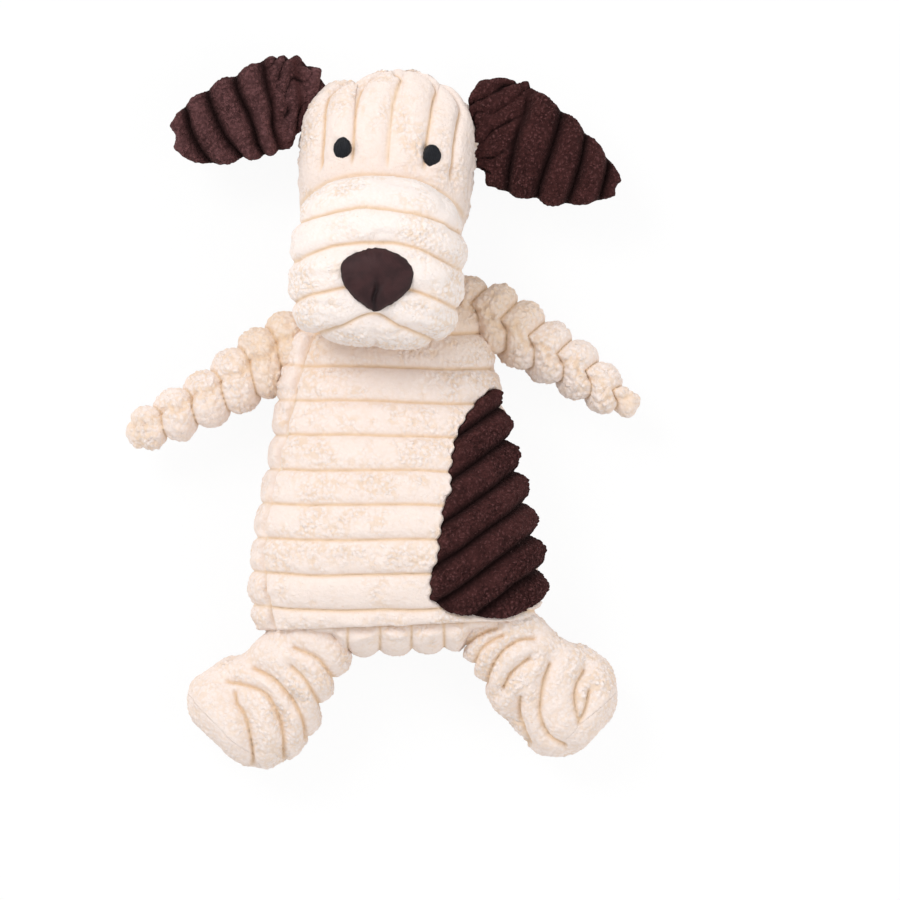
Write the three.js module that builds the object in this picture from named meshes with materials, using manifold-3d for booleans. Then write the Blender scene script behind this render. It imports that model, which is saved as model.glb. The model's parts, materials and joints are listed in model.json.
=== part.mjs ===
// A stuffed corduroy dog that squeaks, lying on its back with its front up.
// Millimetres. +X is the viewer's right, +Y runs to the head, +Z is up out of the front.
// Left and right in every name are the viewer's.

import * as THREE from 'three';
import { mergeVertices } from 'three/addons/utils/BufferGeometryUtils.js';
import Module from 'manifold-3d';

const wasm = await Module();
wasm.setup();

// Sizes shared by all pieces
const clearance = 0.3;         // between pieces that touch
const skin = 2.2;              // plush fabric with its pile
const floorCut = 0.5;          // how far the lying back is pressed flat
const thread = 0.8;            // diameter of the gathering and closing thread
const overrun = 300;           // half side of the blocks that cut at a plane
const swingMargin = 0.7;       // kept free around the torso wherever a sewn piece swings
const stitchSunk = thread / 4; // how far a stitch lies in the fabric

// Torso
const torsoLength = 99;
const torsoWidth = 80;
const torsoDepth = 44;
const torsoLean = THREE.MathUtils.degToRad(2.3);
const torsoBaseX = 4.3;
const torsoBaseY = -65.3;
const torsoRoundPowers = [7, 4];
const torsoDepthPowers = [4, 3];
const torsoSquarePower = 2.4;
const gussetHeight = 6;        // how far the base bulges below its seam
const torsoWidthShares = [
  [0, 1], [0.17, 1], [0.34, 0.94], [0.53, 0.84], [0.69, 0.78], [0.85, 0.75], [1, 0.73],
];
const torsoDepthShares = [
  [0, 0.9], [0.17, 0.98], [0.34, 1], [0.53, 0.91], [0.69, 0.81], [0.85, 0.74], [1, 0.7],
];
const sideSeamTilt = THREE.MathUtils.degToRad(11);
const sideSeamRun = THREE.MathUtils.degToRad(7.2);     // how the side seam drops towards the head
const sideSeamShare = 0.56;    // height of the side seam as a share of the torso's depth
const patchOutlineShares = [   // across in half widths, along in lengths
  [0.72, 0.725], [0.60, 0.70], [0.48, 0.63], [0.42, 0.56], [0.39, 0.49], [0.375, 0.43],
  [0.325, 0.37], [0.29, 0.29], [0.24, 0.21], [0.22, 0.135], [0.28, 0.087], [0.40, 0.072],
  [0.58, 0.075], [0.76, 0.091], [0.93, 0.108], [1.08, 0.13], [1.08, 0.3], [1.05, 0.45],
  [0.95, 0.6], [0.86, 0.7],
];
const patchFloorShare = 0.3;   // how deep the patch wraps round the right side

// Squeaker
const squeakerDiameter = 36;
const squeakerHeight = 16;
const squeakerWall = 0.9;
const squeakerShare = 0.42;    // place along the torso
const bulbSidePower = 0.6;     // how square the bulb's rim and its flat faces are
const bulbFacePower = 0.8;
const reedHolderFlange = 9;
const reedHolderStem = 6.4;
const reedHolderBore = 3.6;
const reedHolderLength = 6;
const reedFlange = 1.2;
const reedWidth = 2.4;
const reedThickness = 0.5;
const reedLength = 4.4;

// Head, in its own frame about the neck
const neckX = -1.9;
const neckSunk = 5.8;          // how far the head's origin lies inside the torso's top
const neckY = torsoBaseY + torsoLength - neckSunk;
const neckZ = 16;
const neckRise = 2;            // the ball's centre above the head frame's origin
const neckBall = 11;
const neckColumn = 8;          // radius of the stuffed neck over the ball
const columnReachShare = 1.8;  // length of a root over its ball, in ball radii
const headTilt = THREE.MathUtils.degToRad(-4.7);
const skullLength = 61;
const skullWidth = 47;
const skullDepth = 38;
const skullStart = 1;
const skullWidthShares = [[0, 0.78], [0.3, 0.93], [0.55, 1], [1, 1]];
const skullDepthShares = [[0, 0.8], [0.35, 0.96], [0.65, 1], [1, 0.86]];
const skullRoundPowers = [2.5, 6];
const skullDepthPowers = [2.5, 3];
const skullSquarePower = 2.5;
const muzzleLength = 46;
const muzzleWidth = 47;
const muzzleHeight = 46;
const muzzleBack = 2;          // where the muzzle starts, above the neck's centre
const muzzleY = 10.4;
const muzzleDroop = 7;         // how far the muzzle's front lies nearer the chest
const muzzleRoundPowers = [2, 3];
const muzzleSquarePower = 2.2;
const muzzleSeamY = 33.9;      // where the forehead's seam crosses the middle
const muzzleSeamTilt = THREE.MathUtils.degToRad(25);
const chinSeamY = -4;
const chinSeamTilt = THREE.MathUtils.degToRad(35);
const headSeamShare = 0.4;     // height of the seam to the back panel, of the skull's depth

// Nose, eyes and mouth
const noseWidth = 19.6;
const noseHeight = 16.5;
const noseY = 6.2;
const noseSunk = 1.2;
const noseProud = 3.2;
const noseBevel = 2.2;
const eyeWidth = 4.8;
const eyeHeight = 5.8;
const eyeThickness = 2.2;
const eyeSpacing = 24;
const eyeY = 40.7;
const eyeTurnShare = 0.86;      // how far an eye follows the face's curve round

// Ears
const earRoot = 4;             // radius of the root about the flap hinge
const earRootX = 22;
const earThickness = 10.5;
const earWidthShares = [[0, 0.62], [0.25, 0.84], [0.55, 1], [0.8, 0.94], [1, 0.8]];
const earDepthShares = [[0, 0.7], [0.4, 1], [1, 0.8]];
const earRoundPowers = [5, 3.5];
const earDepthPowers = [4, 2.6];
const earSquarePower = 2.1;
const earRootLength = 11;

// Limbs
const limbHole = 3;            // radius of the gathered mouth of a sleeve
const gatherAngle = THREE.MathUtils.degToRad(50);  // of the gathering thread round the back of a ball
const armBall = 7;
const armColumn = 4.7;           // radius of the stuffed root over the ball
const armZ = 15;
const armBeadCount = 6;
const armBeadDepthShare = 0.13;
const armRoundPowers = [2.5, 6];
const armSquarePower = 2;
const armWidthShares = [[0, 1], [0.5, 0.95], [1, 0.74]];
const legBall = 7.5;
const legColumn = 4.6;
const legZ = 13.5;
const legLength = 34;
const footWidth = 28.6;
const footDepth = 28;
const soleHeight = 4;
const legRoundPowers = [4, 5];
const legDepthPowers = [4, 4];
const legSquarePower = 2.2;
const legWidthShares = [[0, 0.68], [0.4, 0.76], [0.65, 0.9], [0.88, 1], [1, 1]];
const legDepthShares = [[0, 0.64], [0.4, 0.72], [0.65, 0.88], [0.88, 1], [1, 1]];

// What differs between the two sides: an arm's place is measured out from the base's middle and down
// from the torso's top, and a leg's out from the base's middle and up from the base
const sides = {
  left: {
    sign: -1, armOutShare: -0.39125, armBelowTop: 15.7, armLength: 47.5, armWidth: 17.2, armDrop: 29.5,
    legOutShare: -0.34125, legAboveBase: 0.3, legDrop: 45,
    earLength: 38.5, earWidth: 28.5, earDrop: 12.5, earRootY: 53.5,
  },
  right: {
    sign: 1, armOutShare: 0.29625, armBelowTop: 11.2, armLength: 46.5, armWidth: 14.8, armDrop: 26,
    legOutShare: 0.35875, legAboveBase: 0.7, legDrop: 45,
    earLength: 42, earWidth: 28, earDrop: 17.3, earRootY: 50,
  },
};

// Travel of the sewn joints in degrees, least and greatest: arms and legs swing out, then lift to the front
const travel = {
  neckNod: [-20, 6],
  neckTurn: [-12, 12],
  armSwing: [-20, 35],
  armLift: [-10, 40],
  legSwing: [-28, 8],
  legLift: [-8, 30],
  earFlap: [-20, 60],
};

// Faces of the surfaces
const counts = {
  rings: 9, sides: 16, innerRings: 5, innerSides: 7, headRings: 8, headSides: 14,
  armRingsPerBead: 3, armSides: 7, armInnerSides: 5, legRings: 8, legSides: 14, legInnerSides: 6,
  earRings: 6, earSides: 10, earInnerRings: 4, earInnerSides: 5,
  threadSides: 6, gatherSides: 4, gatherSteps: 12, closingStepsPerStitch: 3, mouthStepsPerPoint: 2,
  eyeSides: 10, eyeRings: 6, noseCurve: 4, noseBevel: 2, capRings: 2,
};

/** Reads a table of [place, value] pairs as a smooth curve. */
function tableCurve(pairs) {
  const slope = (i) => {
    const a = pairs[Math.max(i - 1, 0)];
    const b = pairs[Math.min(i + 1, pairs.length - 1)];
    return (b[1] - a[1]) / (b[0] - a[0]);
  };
  return (t) => {
    let i = 0;
    while (i < pairs.length - 2 && t > pairs[i + 1][0]) i += 1;
    const [t0, v0] = pairs[i];
    const [t1, v1] = pairs[i + 1];
    const span = t1 - t0;
    const u = (t - t0) / span;
    const rise = slope(i) * span;
    const fall = slope(i + 1) * span;
    const cubic = 2 * v0 - 2 * v1 + rise + fall;
    const square = 3 * v1 - 3 * v0 - 2 * rise - fall;
    return ((cubic * u + square) * u + rise) * u + v0;
  };
}

/** A power that keeps its sign, for superellipses. */
const signedPower = (value, power) => Math.sign(value) * Math.abs(value) ** power;

/** A stuffed lump: superellipse sections along its own +Y, closed at both ends. */
class Lump {
  constructor(spec) {
    Object.assign(this, {
      start: 0, round: [3, 3], depthRound: null, square: 2.3, beads: 0, beadShare: 0,
      centreZ: () => 0,
    }, spec);
    this.depthRound ??= this.round;
  }

  /** How far the ends have closed at t, from 0 at an end to 1. */
  closing(t, [first, last]) {
    const power = t < 0.5 ? first : last;
    return Math.max(1 - Math.abs(2 * t - 1) ** power, 0) ** (1 / power);
  }

  /** Half a side at t, a wall's thickness inside. */
  reach(half, t, inset, round) {
    const wave = 2 * Math.abs(Math.sin(Math.PI * this.beads * t)) - 1;
    const bead = this.beads ? 1 + this.beadShare * wave : 1;
    return (half * bead - inset) * this.closing(t, round);
  }

  /** The place at t along and at an angle round, a wall's thickness inside. */
  point(t, angle, inset = 0) {
    const y = this.start + inset + t * (this.length - 2 * inset);
    const power = 2 / this.square;
    return new THREE.Vector3(
      this.reach(this.width(t), t, inset, this.round) * signedPower(Math.cos(angle), power),
      y,
      this.centreZ(t) + this.reach(this.depth(t), t, inset, this.depthRound)
        * signedPower(Math.sin(angle), power),
    );
  }

  /** The closed surface as a geometry. */
  geometry(inset, rings, sideCount) {
    const points = [this.point(0, 0, inset)];
    const faces = [];
    const at = (ring, side) => 1 + (ring - 1) * sideCount + (side % sideCount);
    for (let ring = 1; ring < rings; ring += 1) {
      const t = this.beads ? ring / rings : (1 - Math.cos(Math.PI * ring / rings)) / 2;
      for (let side = 0; side < sideCount; side += 1) {
        points.push(this.point(t, 2 * Math.PI * side / sideCount, inset));
      }
    }
    points.push(this.point(1, 0, inset));
    for (let side = 0; side < sideCount; side += 1) {
      faces.push(0, at(1, side), at(1, side + 1));
      faces.push(points.length - 1, at(rings - 1, side + 1), at(rings - 1, side));
      for (let ring = 1; ring < rings - 1; ring += 1) {
        faces.push(at(ring, side), at(ring + 1, side), at(ring + 1, side + 1));
        faces.push(at(ring, side), at(ring + 1, side + 1), at(ring, side + 1));
      }
    }
    const geometry = new THREE.BufferGeometry().setFromPoints(points);
    geometry.setIndex(faces);
    return geometry;
  }
}

/** A geometry, placed by a matrix, as a solid that can be cut and joined. */
function solid(geometry, matrix = new THREE.Matrix4()) {
  const bare = geometry.clone().applyMatrix4(matrix);
  for (const name of Object.keys(bare.attributes)) {
    if (name !== 'position') bare.deleteAttribute(name);
  }
  const merged = mergeVertices(bare);
  return new wasm.Manifold(new wasm.Mesh({
    numProp: 3,
    vertProperties: new Float32Array(merged.attributes.position.array),
    triVerts: new Uint32Array(merged.index.array),
  }));
}

/** A matrix from a turn and a place. */
function place(x, y, z, turn = new THREE.Euler()) {
  return new THREE.Matrix4().compose(
    new THREE.Vector3(x, y, z), new THREE.Quaternion().setFromEuler(turn), new THREE.Vector3(1, 1, 1));
}

/** The half space that a normal points into, from half a clearance past a point. */
function halfSpace(point, normal, gap = clearance / 2) {
  const unit = normal.clone().normalize();
  const turn = new THREE.Quaternion().setFromUnitVectors(new THREE.Vector3(0, 0, 1), unit);
  const middle = point.clone().addScaledVector(unit, overrun + gap);
  const matrix = new THREE.Matrix4().compose(middle, turn, new THREE.Vector3(1, 1, 1));
  return solid(new THREE.BoxGeometry(2 * overrun, 2 * overrun, 2 * overrun), matrix);
}

const ballSideCount = 8;
const ballRingCount = 5;
const ballFacetShare = Math.cos(Math.PI / ballSideCount) * Math.cos(Math.PI / (2 * ballRingCount));

/** A ball whose flat facets lie outside a radius, to cut a socket, or a ball with its corners on it. */
function ball(radius, centre, outside = true) {
  const corner = outside ? radius / ballFacetShare : radius;
  const sphere = new THREE.SphereGeometry(corner, ballSideCount, ballRingCount);
  return solid(sphere, place(centre.x, centre.y, centre.z));
}

/** A round thread or bore along a smooth path. */
function strand(points, radius, steps) {
  const section = new THREE.Shape();
  for (let side = 0; side < counts.threadSides; side += 1) {
    const angle = 2 * Math.PI * side / counts.threadSides;
    const step = side ? 'lineTo' : 'moveTo';
    section[step](radius * Math.cos(angle), radius * Math.sin(angle));
  }
  return solid(new THREE.ExtrudeGeometry(section, {
    steps, bevelEnabled: false, extrudePath: new THREE.CatmullRomCurve3(points),
  }));
}

// The torso

const headMatrix = place(neckX, neckY, 0, new THREE.Euler(0, 0, headTilt));
const torsoMatrix = place(torsoBaseX, torsoBaseY, 0, new THREE.Euler(0, 0, torsoLean));
const torsoWidthCurve = tableCurve(torsoWidthShares);
const torsoDepthCurve = tableCurve(torsoDepthShares);
const torso = new Lump({
  length: torsoLength,
  width: (t) => torsoWidthCurve(t) * torsoWidth / 2,
  depth: (t) => torsoDepthCurve(t) * torsoDepth / 2,
  centreZ: (t) => torsoDepthCurve(t) * torsoDepth / 2 - floorCut,
  round: torsoRoundPowers,
  depthRound: torsoDepthPowers,
  square: torsoSquarePower,
});

/** Places where a ball of stuffed fabric turns in the torso. */
const pivots = {
  neck: {
    centre: new THREE.Vector3(0, neckRise, neckZ).applyMatrix4(headMatrix), radius: neckBall,
  },
};
for (const [side, spec] of Object.entries(sides)) {
  const armX = torsoBaseX + spec.armOutShare * torsoWidth;
  const armY = torsoBaseY + torsoLength - spec.armBelowTop;
  const legX = torsoBaseX + spec.legOutShare * torsoWidth;
  const legY = torsoBaseY + spec.legAboveBase;
  pivots[`${side}_shoulder`] = { centre: new THREE.Vector3(armX, armY, armZ), radius: armBall };
  pivots[`${side}_hip`] = { centre: new THREE.Vector3(legX, legY, legZ), radius: legBall };
}

const socketGap = thread + 2 * clearance;

/** The torso's stuffed form, a wall's thickness inside, with its five sockets. */
function torsoForm(inset, rings, sideCount) {
  let form = solid(torso.geometry(inset, rings, sideCount), torsoMatrix);
  form = form.intersect(halfSpace(new THREE.Vector3(0, 0, inset), new THREE.Vector3(0, 0, 1), 0));
  for (const { centre, radius } of Object.values(pivots)) {
    form = form.subtract(ball(radius + socketGap + inset, centre));
  }
  return form;
}

const torsoOuter = torsoForm(0, counts.rings, counts.sides);
const torsoInner = torsoForm(skin, counts.innerRings, counts.innerSides);
const torsoShell = torsoOuter.subtract(torsoInner);

/** A point given in the torso's own frame. */
const onTorso = (x, y, z) => new THREE.Vector3(x, y, z).applyMatrix4(torsoMatrix);

const seamNormal = new THREE.Vector3(Math.tan(sideSeamTilt), Math.tan(sideSeamRun), 1).normalize();
const seamPoint = onTorso(0, torsoLength / 2, torsoDepth * sideSeamShare);
const baseSeamPoint = onTorso(0, gussetHeight, 0);
const alongTorso = new THREE.Vector3(0, 1, 0).transformDirection(torsoMatrix);

// The closing seam's thread, in a groove on the left side seam
const closingShares = [0.3, 0.36, 0.42, 0.48, 0.54, 0.6, 0.66];
const stitchReach = 1.1;       // how far a stitch steps to each side of the seam

const seamAngleLimit = 1.4 * Math.PI;
const seamHalvings = 30;

/** The angle round a torso section where the left surface meets the side seam. */
function seamAngle(t) {
  let low = Math.PI / 2;
  let high = seamAngleLimit;
  for (let step = 0; step < seamHalvings; step += 1) {
    const middle = (low + high) / 2;
    const point = torso.point(t, middle).applyMatrix4(torsoMatrix);
    if (point.sub(seamPoint).dot(seamNormal) > 0) low = middle;
    else high = middle;
  }
  return low;
}

const closingPath = closingShares.map((t, i) => {
  const point = torso.point(t, seamAngle(t), stitchSunk).applyMatrix4(torsoMatrix);
  return point.addScaledVector(seamNormal, i % 2 ? stitchReach : -stitchReach);
});
const closingSteps = counts.closingStepsPerStitch * (closingShares.length - 1);
const closingStitches = strand(closingPath, thread / 2, closingSteps);
const closingGroove = strand(closingPath, thread / 2 + clearance, closingSteps);

/** The patch's prism, drawn in by a margin. */
function patchPrism(margin) {
  const outline = new THREE.SplineCurve(patchOutlineShares.map(([across, along]) => new THREE.Vector2(
    across * torsoWidth / 2, along * torsoLength)));
  outline.points.push(outline.points[0].clone());
  const around = outline.getPoints(2 * patchOutlineShares.length).slice(0, -1);
  const shape = new THREE.Shape(around.map((point, i) => {
    const next = around[(i + 1) % around.length];
    const last = around[(i + around.length - 1) % around.length];
    const inward = new THREE.Vector2(last.y - next.y, next.x - last.x).normalize();
    return point.clone().addScaledVector(inward, margin);
  }));
  const prism = new THREE.ExtrudeGeometry(shape, { depth: torsoDepth, bevelEnabled: false });
  return solid(prism, torsoMatrix.clone().multiply(place(0, 0, torsoDepth * patchFloorShare)));
}

const aboveSeam = halfSpace(seamPoint, seamNormal);
const belowSeam = halfSpace(seamPoint, seamNormal.clone().negate());
const aboveBase = halfSpace(baseSeamPoint, alongTorso);
const belowBase = halfSpace(baseSeamPoint, alongTorso.clone().negate());
const grooved = torsoShell.subtract(closingGroove);
const frontShell = grooved.intersect(aboveSeam).intersect(aboveBase);
const bodyFront = frontShell.subtract(patchPrism(-clearance / 2));
const bodyPatch = frontShell.intersect(patchPrism(clearance / 2));
const bodyBack = grooved.intersect(belowSeam).intersect(aboveBase);
const bodyBase = torsoShell.intersect(belowBase);

// Squeaker and the stuffing round it

const squeakerZ = torsoDepth / 2 - floorCut;
const squeakerMatrix = torsoMatrix.clone().multiply(place(0, squeakerShare * torsoLength, squeakerZ,
  new THREE.Euler(Math.PI / 2, 0, 0)));
const squeakerSideCount = 14;
const bulbStepCount = 3;

/** Outline points of the bulb, from the top's hole or axis round to the bottom's axis. */
function bulbOutline(inset, holeRadius) {
  const radius = squeakerDiameter / 2 - inset;
  const half = squeakerHeight / 2 - inset;
  const points = [];
  for (let step = 0; step <= 2 * bulbStepCount; step += 1) {
    const angle = Math.PI / 2 - Math.PI * step / (2 * bulbStepCount);
    const across = radius * Math.abs(Math.cos(angle)) ** bulbSidePower;
    points.push(new THREE.Vector2(step === 2 * bulbStepCount ? 0 : Math.max(across, step ? 0 : holeRadius),
      half * signedPower(Math.sin(angle), bulbFacePower)));
  }
  return points;
}

const lathe = (points) => new THREE.LatheGeometry(points, squeakerSideCount);
const holeRadius = reedHolderStem / 2 + clearance;
const capsuleOutline = [...bulbOutline(0, holeRadius).reverse(), ...bulbOutline(squeakerWall, holeRadius)];
const capsule = solid(lathe(capsuleOutline), squeakerMatrix);
const pocketOutline = [...bulbOutline(-clearance, 0)].reverse();
const flangeTop = squeakerHeight / 2 + clearance + reedFlange;
const holderOutline = [
  new THREE.Vector2(reedHolderBore / 2, flangeTop - reedHolderLength),
  new THREE.Vector2(reedHolderStem / 2, flangeTop - reedHolderLength),
  new THREE.Vector2(reedHolderStem / 2, squeakerHeight / 2 + clearance),
  new THREE.Vector2(reedHolderFlange / 2, squeakerHeight / 2 + clearance),
  new THREE.Vector2(reedHolderFlange / 2, flangeTop),
  new THREE.Vector2(reedHolderBore / 2, flangeTop),
];
holderOutline.push(holderOutline[0].clone());
const reedHolder = solid(lathe(holderOutline), squeakerMatrix);
const reed = solid(new THREE.BoxGeometry(reedWidth, reedLength, reedThickness),
  squeakerMatrix.clone().multiply(place(0, flangeTop - reedHolderLength / 2, 0)));
const holderRoom = solid(new THREE.CylinderGeometry(reedHolderFlange / 2 + clearance,
  reedHolderFlange / 2 + clearance, 2 * (reedFlange + clearance), squeakerSideCount),
squeakerMatrix.clone().multiply(place(0, flangeTop - reedFlange, 0)));
const pocket = solid(lathe(pocketOutline), squeakerMatrix).add(holderRoom);

const stuffing = torsoForm(skin + clearance, counts.innerRings, counts.innerSides).subtract(pocket);
const squeakerMiddle = new THREE.Vector3().applyMatrix4(squeakerMatrix);
const up = new THREE.Vector3(0, 0, 1);
const stuffingFront = stuffing.intersect(halfSpace(squeakerMiddle, up));
const stuffingBack = stuffing.intersect(halfSpace(squeakerMiddle, up.clone().negate()));

// What the sewn pieces must leave free of the torso

/** A turn about an axis through a centre. */
function turnAbout(centre, axis, degrees) {
  const turn = new THREE.Matrix4().makeRotationAxis(axis, THREE.MathUtils.degToRad(degrees));
  return place(centre.x, centre.y, centre.z).multiply(turn).multiply(place(-centre.x, -centre.y, -centre.z));
}

/** Cuts from a form what a lump would meet at rest and at each of the turns. */
function clearOf(form, inset, lump, matrix, turns) {
  const copy = lump.geometry(-swingMargin - inset, counts.rings, counts.sides);
  return turns.reduce(
    (cut, turn) => cut.subtract(solid(copy, turn.clone().multiply(matrix))),
    form.subtract(solid(copy, matrix)),
  );
}

/** Clears a form of the torso as it swings, then adds the ball and the root that join them. */
function rootAt(form, inset, root) {
  const turns = root.swing.flatMap((first) => root.lift.map((second) => turnAbout(
    root.centre, root.liftAxis, -second).multiply(turnAbout(root.centre, root.swingAxis, -first))));
  const length = root.ball * columnReachShare;
  const column = new THREE.CylinderGeometry(root.column - inset, root.column - inset, length, ballSideCount);
  return clearOf(form, inset, torso, torsoMatrix, turns)
    .add(solid(column, root.matrix.clone().multiply(place(0, length / 2, 0))))
    .add(ball(root.ball - inset, root.centre, false));
}

// The head

const skullWidthCurve = tableCurve(skullWidthShares);
const skullDepthCurve = tableCurve(skullDepthShares);
const skull = new Lump({
  length: skullLength,
  start: skullStart,
  width: (t) => skullWidthCurve(t) * skullWidth / 2,
  depth: (t) => skullDepthCurve(t) * skullDepth / 2,
  centreZ: (t) => skullDepthCurve(t) * skullDepth / 2 - floorCut,
  round: skullRoundPowers,
  depthRound: skullDepthPowers,
  square: skullSquarePower,
});
// The muzzle's own +Y points out of the face, and its +Z to the chest
const muzzleMatrix = headMatrix.clone().multiply(place(0, muzzleY, neckZ + muzzleBack,
  new THREE.Euler(Math.PI / 2, 0, 0)));
const muzzle = new Lump({
  length: muzzleLength,
  width: () => muzzleWidth / 2,
  depth: () => muzzleHeight / 2,
  centreZ: (t) => (t - 1) * muzzleDroop,
  round: muzzleRoundPowers,
  square: muzzleSquarePower,
});
const headEars = Object.fromEntries(Object.entries(sides).map(([side, spec]) => {
  const lean = spec.sign > 0 ? -Math.PI / 2 - THREE.MathUtils.degToRad(spec.earDrop)
    : Math.PI / 2 + THREE.MathUtils.degToRad(spec.earDrop);
  return [side, headMatrix.clone().multiply(place(spec.sign * earRootX, spec.earRootY, skullDepth / 2,
    new THREE.Euler(0, 0, lean)))];
}));

/** A bar along an ear's hinge. */
function earBar(side, radius) {
  const capsule = new THREE.CapsuleGeometry(radius, earRootLength, counts.capRings, ballSideCount);
  const across = place(0, 0, 0, new THREE.Euler(0, 0, Math.PI / 2));
  return solid(capsule, headEars[side].clone().multiply(across));
}

const neckMatrix = headMatrix.clone().multiply(place(0, neckRise, neckZ));
const neckRoot = {
  matrix: neckMatrix, centre: pivots.neck.centre, ball: neckBall, column: neckColumn,
  swingAxis: new THREE.Vector3(1, 0, 0).transformDirection(neckMatrix), swing: travel.neckNod,
  liftAxis: new THREE.Vector3(0, 1, 0).transformDirection(neckMatrix), lift: travel.neckTurn,
};

/** The head's stuffed form, a wall's thickness inside. */
function headForm(inset, rings, sideCount) {
  let form = solid(skull.geometry(inset, rings, sideCount), headMatrix);
  form = form.add(solid(muzzle.geometry(inset, rings - 1, sideCount), muzzleMatrix));
  form = rootAt(form, inset, neckRoot);
  form = form.intersect(halfSpace(new THREE.Vector3(0, 0, inset), up, 0));
  for (const side of Object.keys(sides)) {
    form = form.subtract(earBar(side, (earRoot + clearance) / ballFacetShare + inset));
  }
  return form;
}

const headShell = headForm(0, counts.headRings, counts.headSides).subtract(
  headForm(skin, counts.innerRings, counts.innerSides));
const headStuffing = headForm(skin + clearance, counts.innerRings, counts.innerSides);
const onHead = (x, y, z) => new THREE.Vector3(x, y, z).applyMatrix4(headMatrix);
const headSeamNormal = up.clone();
const headSeamPoint = onHead(0, 0, headSeamShare * skullDepth);
const foreheadNormal = new THREE.Vector3(0, Math.cos(muzzleSeamTilt), -Math.sin(muzzleSeamTilt))
  .transformDirection(headMatrix);
const foreheadPoint = onHead(0, muzzleSeamY, skullDepth - floorCut);
const chinNormal = new THREE.Vector3(0, -Math.cos(chinSeamTilt), -Math.sin(chinSeamTilt))
  .transformDirection(headMatrix);
const chinPoint = onHead(0, chinSeamY, skullDepth);
const headFrontShell = headShell.intersect(halfSpace(headSeamPoint, headSeamNormal));
const muzzleFront = muzzle.start + muzzleLength + neckZ + muzzleBack;

/** The nose pad, grown by a margin. */
function noseForm(margin) {
  const wide = noseWidth / 2 - noseBevel + margin;
  const high = noseHeight / 2 - noseBevel + margin;
  const shape = new THREE.Shape();
  shape.moveTo(0, -high);
  shape.bezierCurveTo(wide / 2, -high, wide, 0, wide, high / 3);
  shape.bezierCurveTo(wide, high, wide / 2, high, 0, high);
  shape.bezierCurveTo(-wide / 2, high, -wide, high, -wide, high / 3);
  shape.bezierCurveTo(-wide, 0, -wide / 2, -high, 0, -high);
  const bevelThickness = noseProud / 2 + margin;
  const geometry = new THREE.ExtrudeGeometry(shape, {
    depth: noseSunk, curveSegments: counts.noseCurve, bevelEnabled: true, bevelSegments: counts.noseBevel,
    bevelSize: noseBevel, bevelThickness,
  });
  return solid(geometry, headMatrix.clone().multiply(place(0, noseY, muzzleFront - noseSunk + noseProud / 2)));
}

/** An embroidered eye, grown by a margin. */
function eyeForm(sign, margin) {
  const x = sign * eyeSpacing / 2;
  const share = (eyeY - skullStart) / skullLength;
  const angle = Math.PI / 2 - sign * Math.asin(eyeSpacing / skullWidth) * eyeTurnShare;
  const z = skull.point(share, angle).z;
  const size = new THREE.Vector3(eyeWidth / 2 + margin, eyeHeight / 2 + margin, eyeThickness / 2 + margin);
  const matrix = headMatrix.clone().multiply(place(x, eyeY, z - eyeThickness / 4,
    new THREE.Euler(0, sign * (Math.PI / 2 - Math.abs(angle)) / 2, 0)));
  const sphere = new THREE.SphereGeometry(1, counts.eyeSides, counts.eyeRings);
  return solid(sphere.scale(size.x, size.y, size.z), matrix);
}

// The mouth stitch runs down the muzzle's middle from under the nose
const mouthShares = [0.955, 0.935, 0.905, 0.865];
const mouthPath = mouthShares.map((t) => muzzle.point(t, Math.PI / 2, stitchSunk).applyMatrix4(muzzleMatrix));
const mouthSteps = counts.mouthStepsPerPoint * mouthShares.length;
const mouthStitch = strand(mouthPath, thread / 2, mouthSteps);
const mouthGroove = strand(mouthPath, thread / 2 + clearance, mouthSteps);

let foreheadPanel = headFrontShell.intersect(halfSpace(foreheadPoint, foreheadNormal));
const lowerFace = headFrontShell.intersect(halfSpace(foreheadPoint, foreheadNormal.clone().negate()));
const chinPanel = lowerFace.intersect(halfSpace(chinPoint, chinNormal));
const muzzlePanel = lowerFace.intersect(halfSpace(chinPoint, chinNormal.clone().negate()))
  .subtract(noseForm(clearance)).subtract(mouthGroove);
const headBack = headShell.intersect(halfSpace(headSeamPoint, headSeamNormal.clone().negate()));
for (const { sign } of Object.values(sides)) {
  foreheadPanel = foreheadPanel.subtract(eyeForm(sign, clearance));
}

// Limbs and ears

/** Where and how a limb is sewn on: its own +Y runs from its pivot to its tip. */
function limbRoot(pivot, sign, drop, ballRadius, column, swing, lift) {
  const turn = sign * (-Math.PI / 2 - THREE.MathUtils.degToRad(drop));
  const matrix = place(pivot.x, pivot.y, pivot.z, new THREE.Euler(0, 0, turn));
  return {
    matrix, centre: pivot, ball: ballRadius, column, lift,
    swingAxis: up, swing: swing.map((degrees) => sign * degrees),
    liftAxis: new THREE.Vector3(1, 0, 0).transformDirection(matrix),
  };
}

/** A limb's stuffed form, a wall's thickness inside. */
function limbForm(limb, inset, rings, sideCount) {
  const form = rootAt(solid(limb.lump.geometry(inset, rings, sideCount), limb.root.matrix), inset, limb.root);
  return form.intersect(halfSpace(new THREE.Vector3(0, 0, inset), up, 0));
}

/** The limb's sleeve, with the gathered mouth at its root. */
function limbSleeve(limb) {
  const shell = limbForm(limb, 0, limb.rings, limb.sides).subtract(
    limbForm(limb, skin, limb.innerRings, limb.innerSides));
  const mouth = solid(new THREE.CylinderGeometry(limbHole, limbHole, limb.root.ball, ballSideCount),
    limb.root.matrix.clone().multiply(place(0, -limb.root.ball, 0)));
  return shell.subtract(mouth);
}

/** The gathering thread round the back of a ball. */
function gathering(matrix, radius) {
  const reach = radius + clearance + thread / 2;
  const ring = new THREE.TorusGeometry(reach * Math.sin(gatherAngle), thread / 2,
    counts.gatherSides, counts.gatherSteps);
  return solid(ring, matrix.clone().multiply(
    place(0, -reach * Math.cos(gatherAngle), 0, new THREE.Euler(Math.PI / 2, 0, 0))));
}

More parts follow.
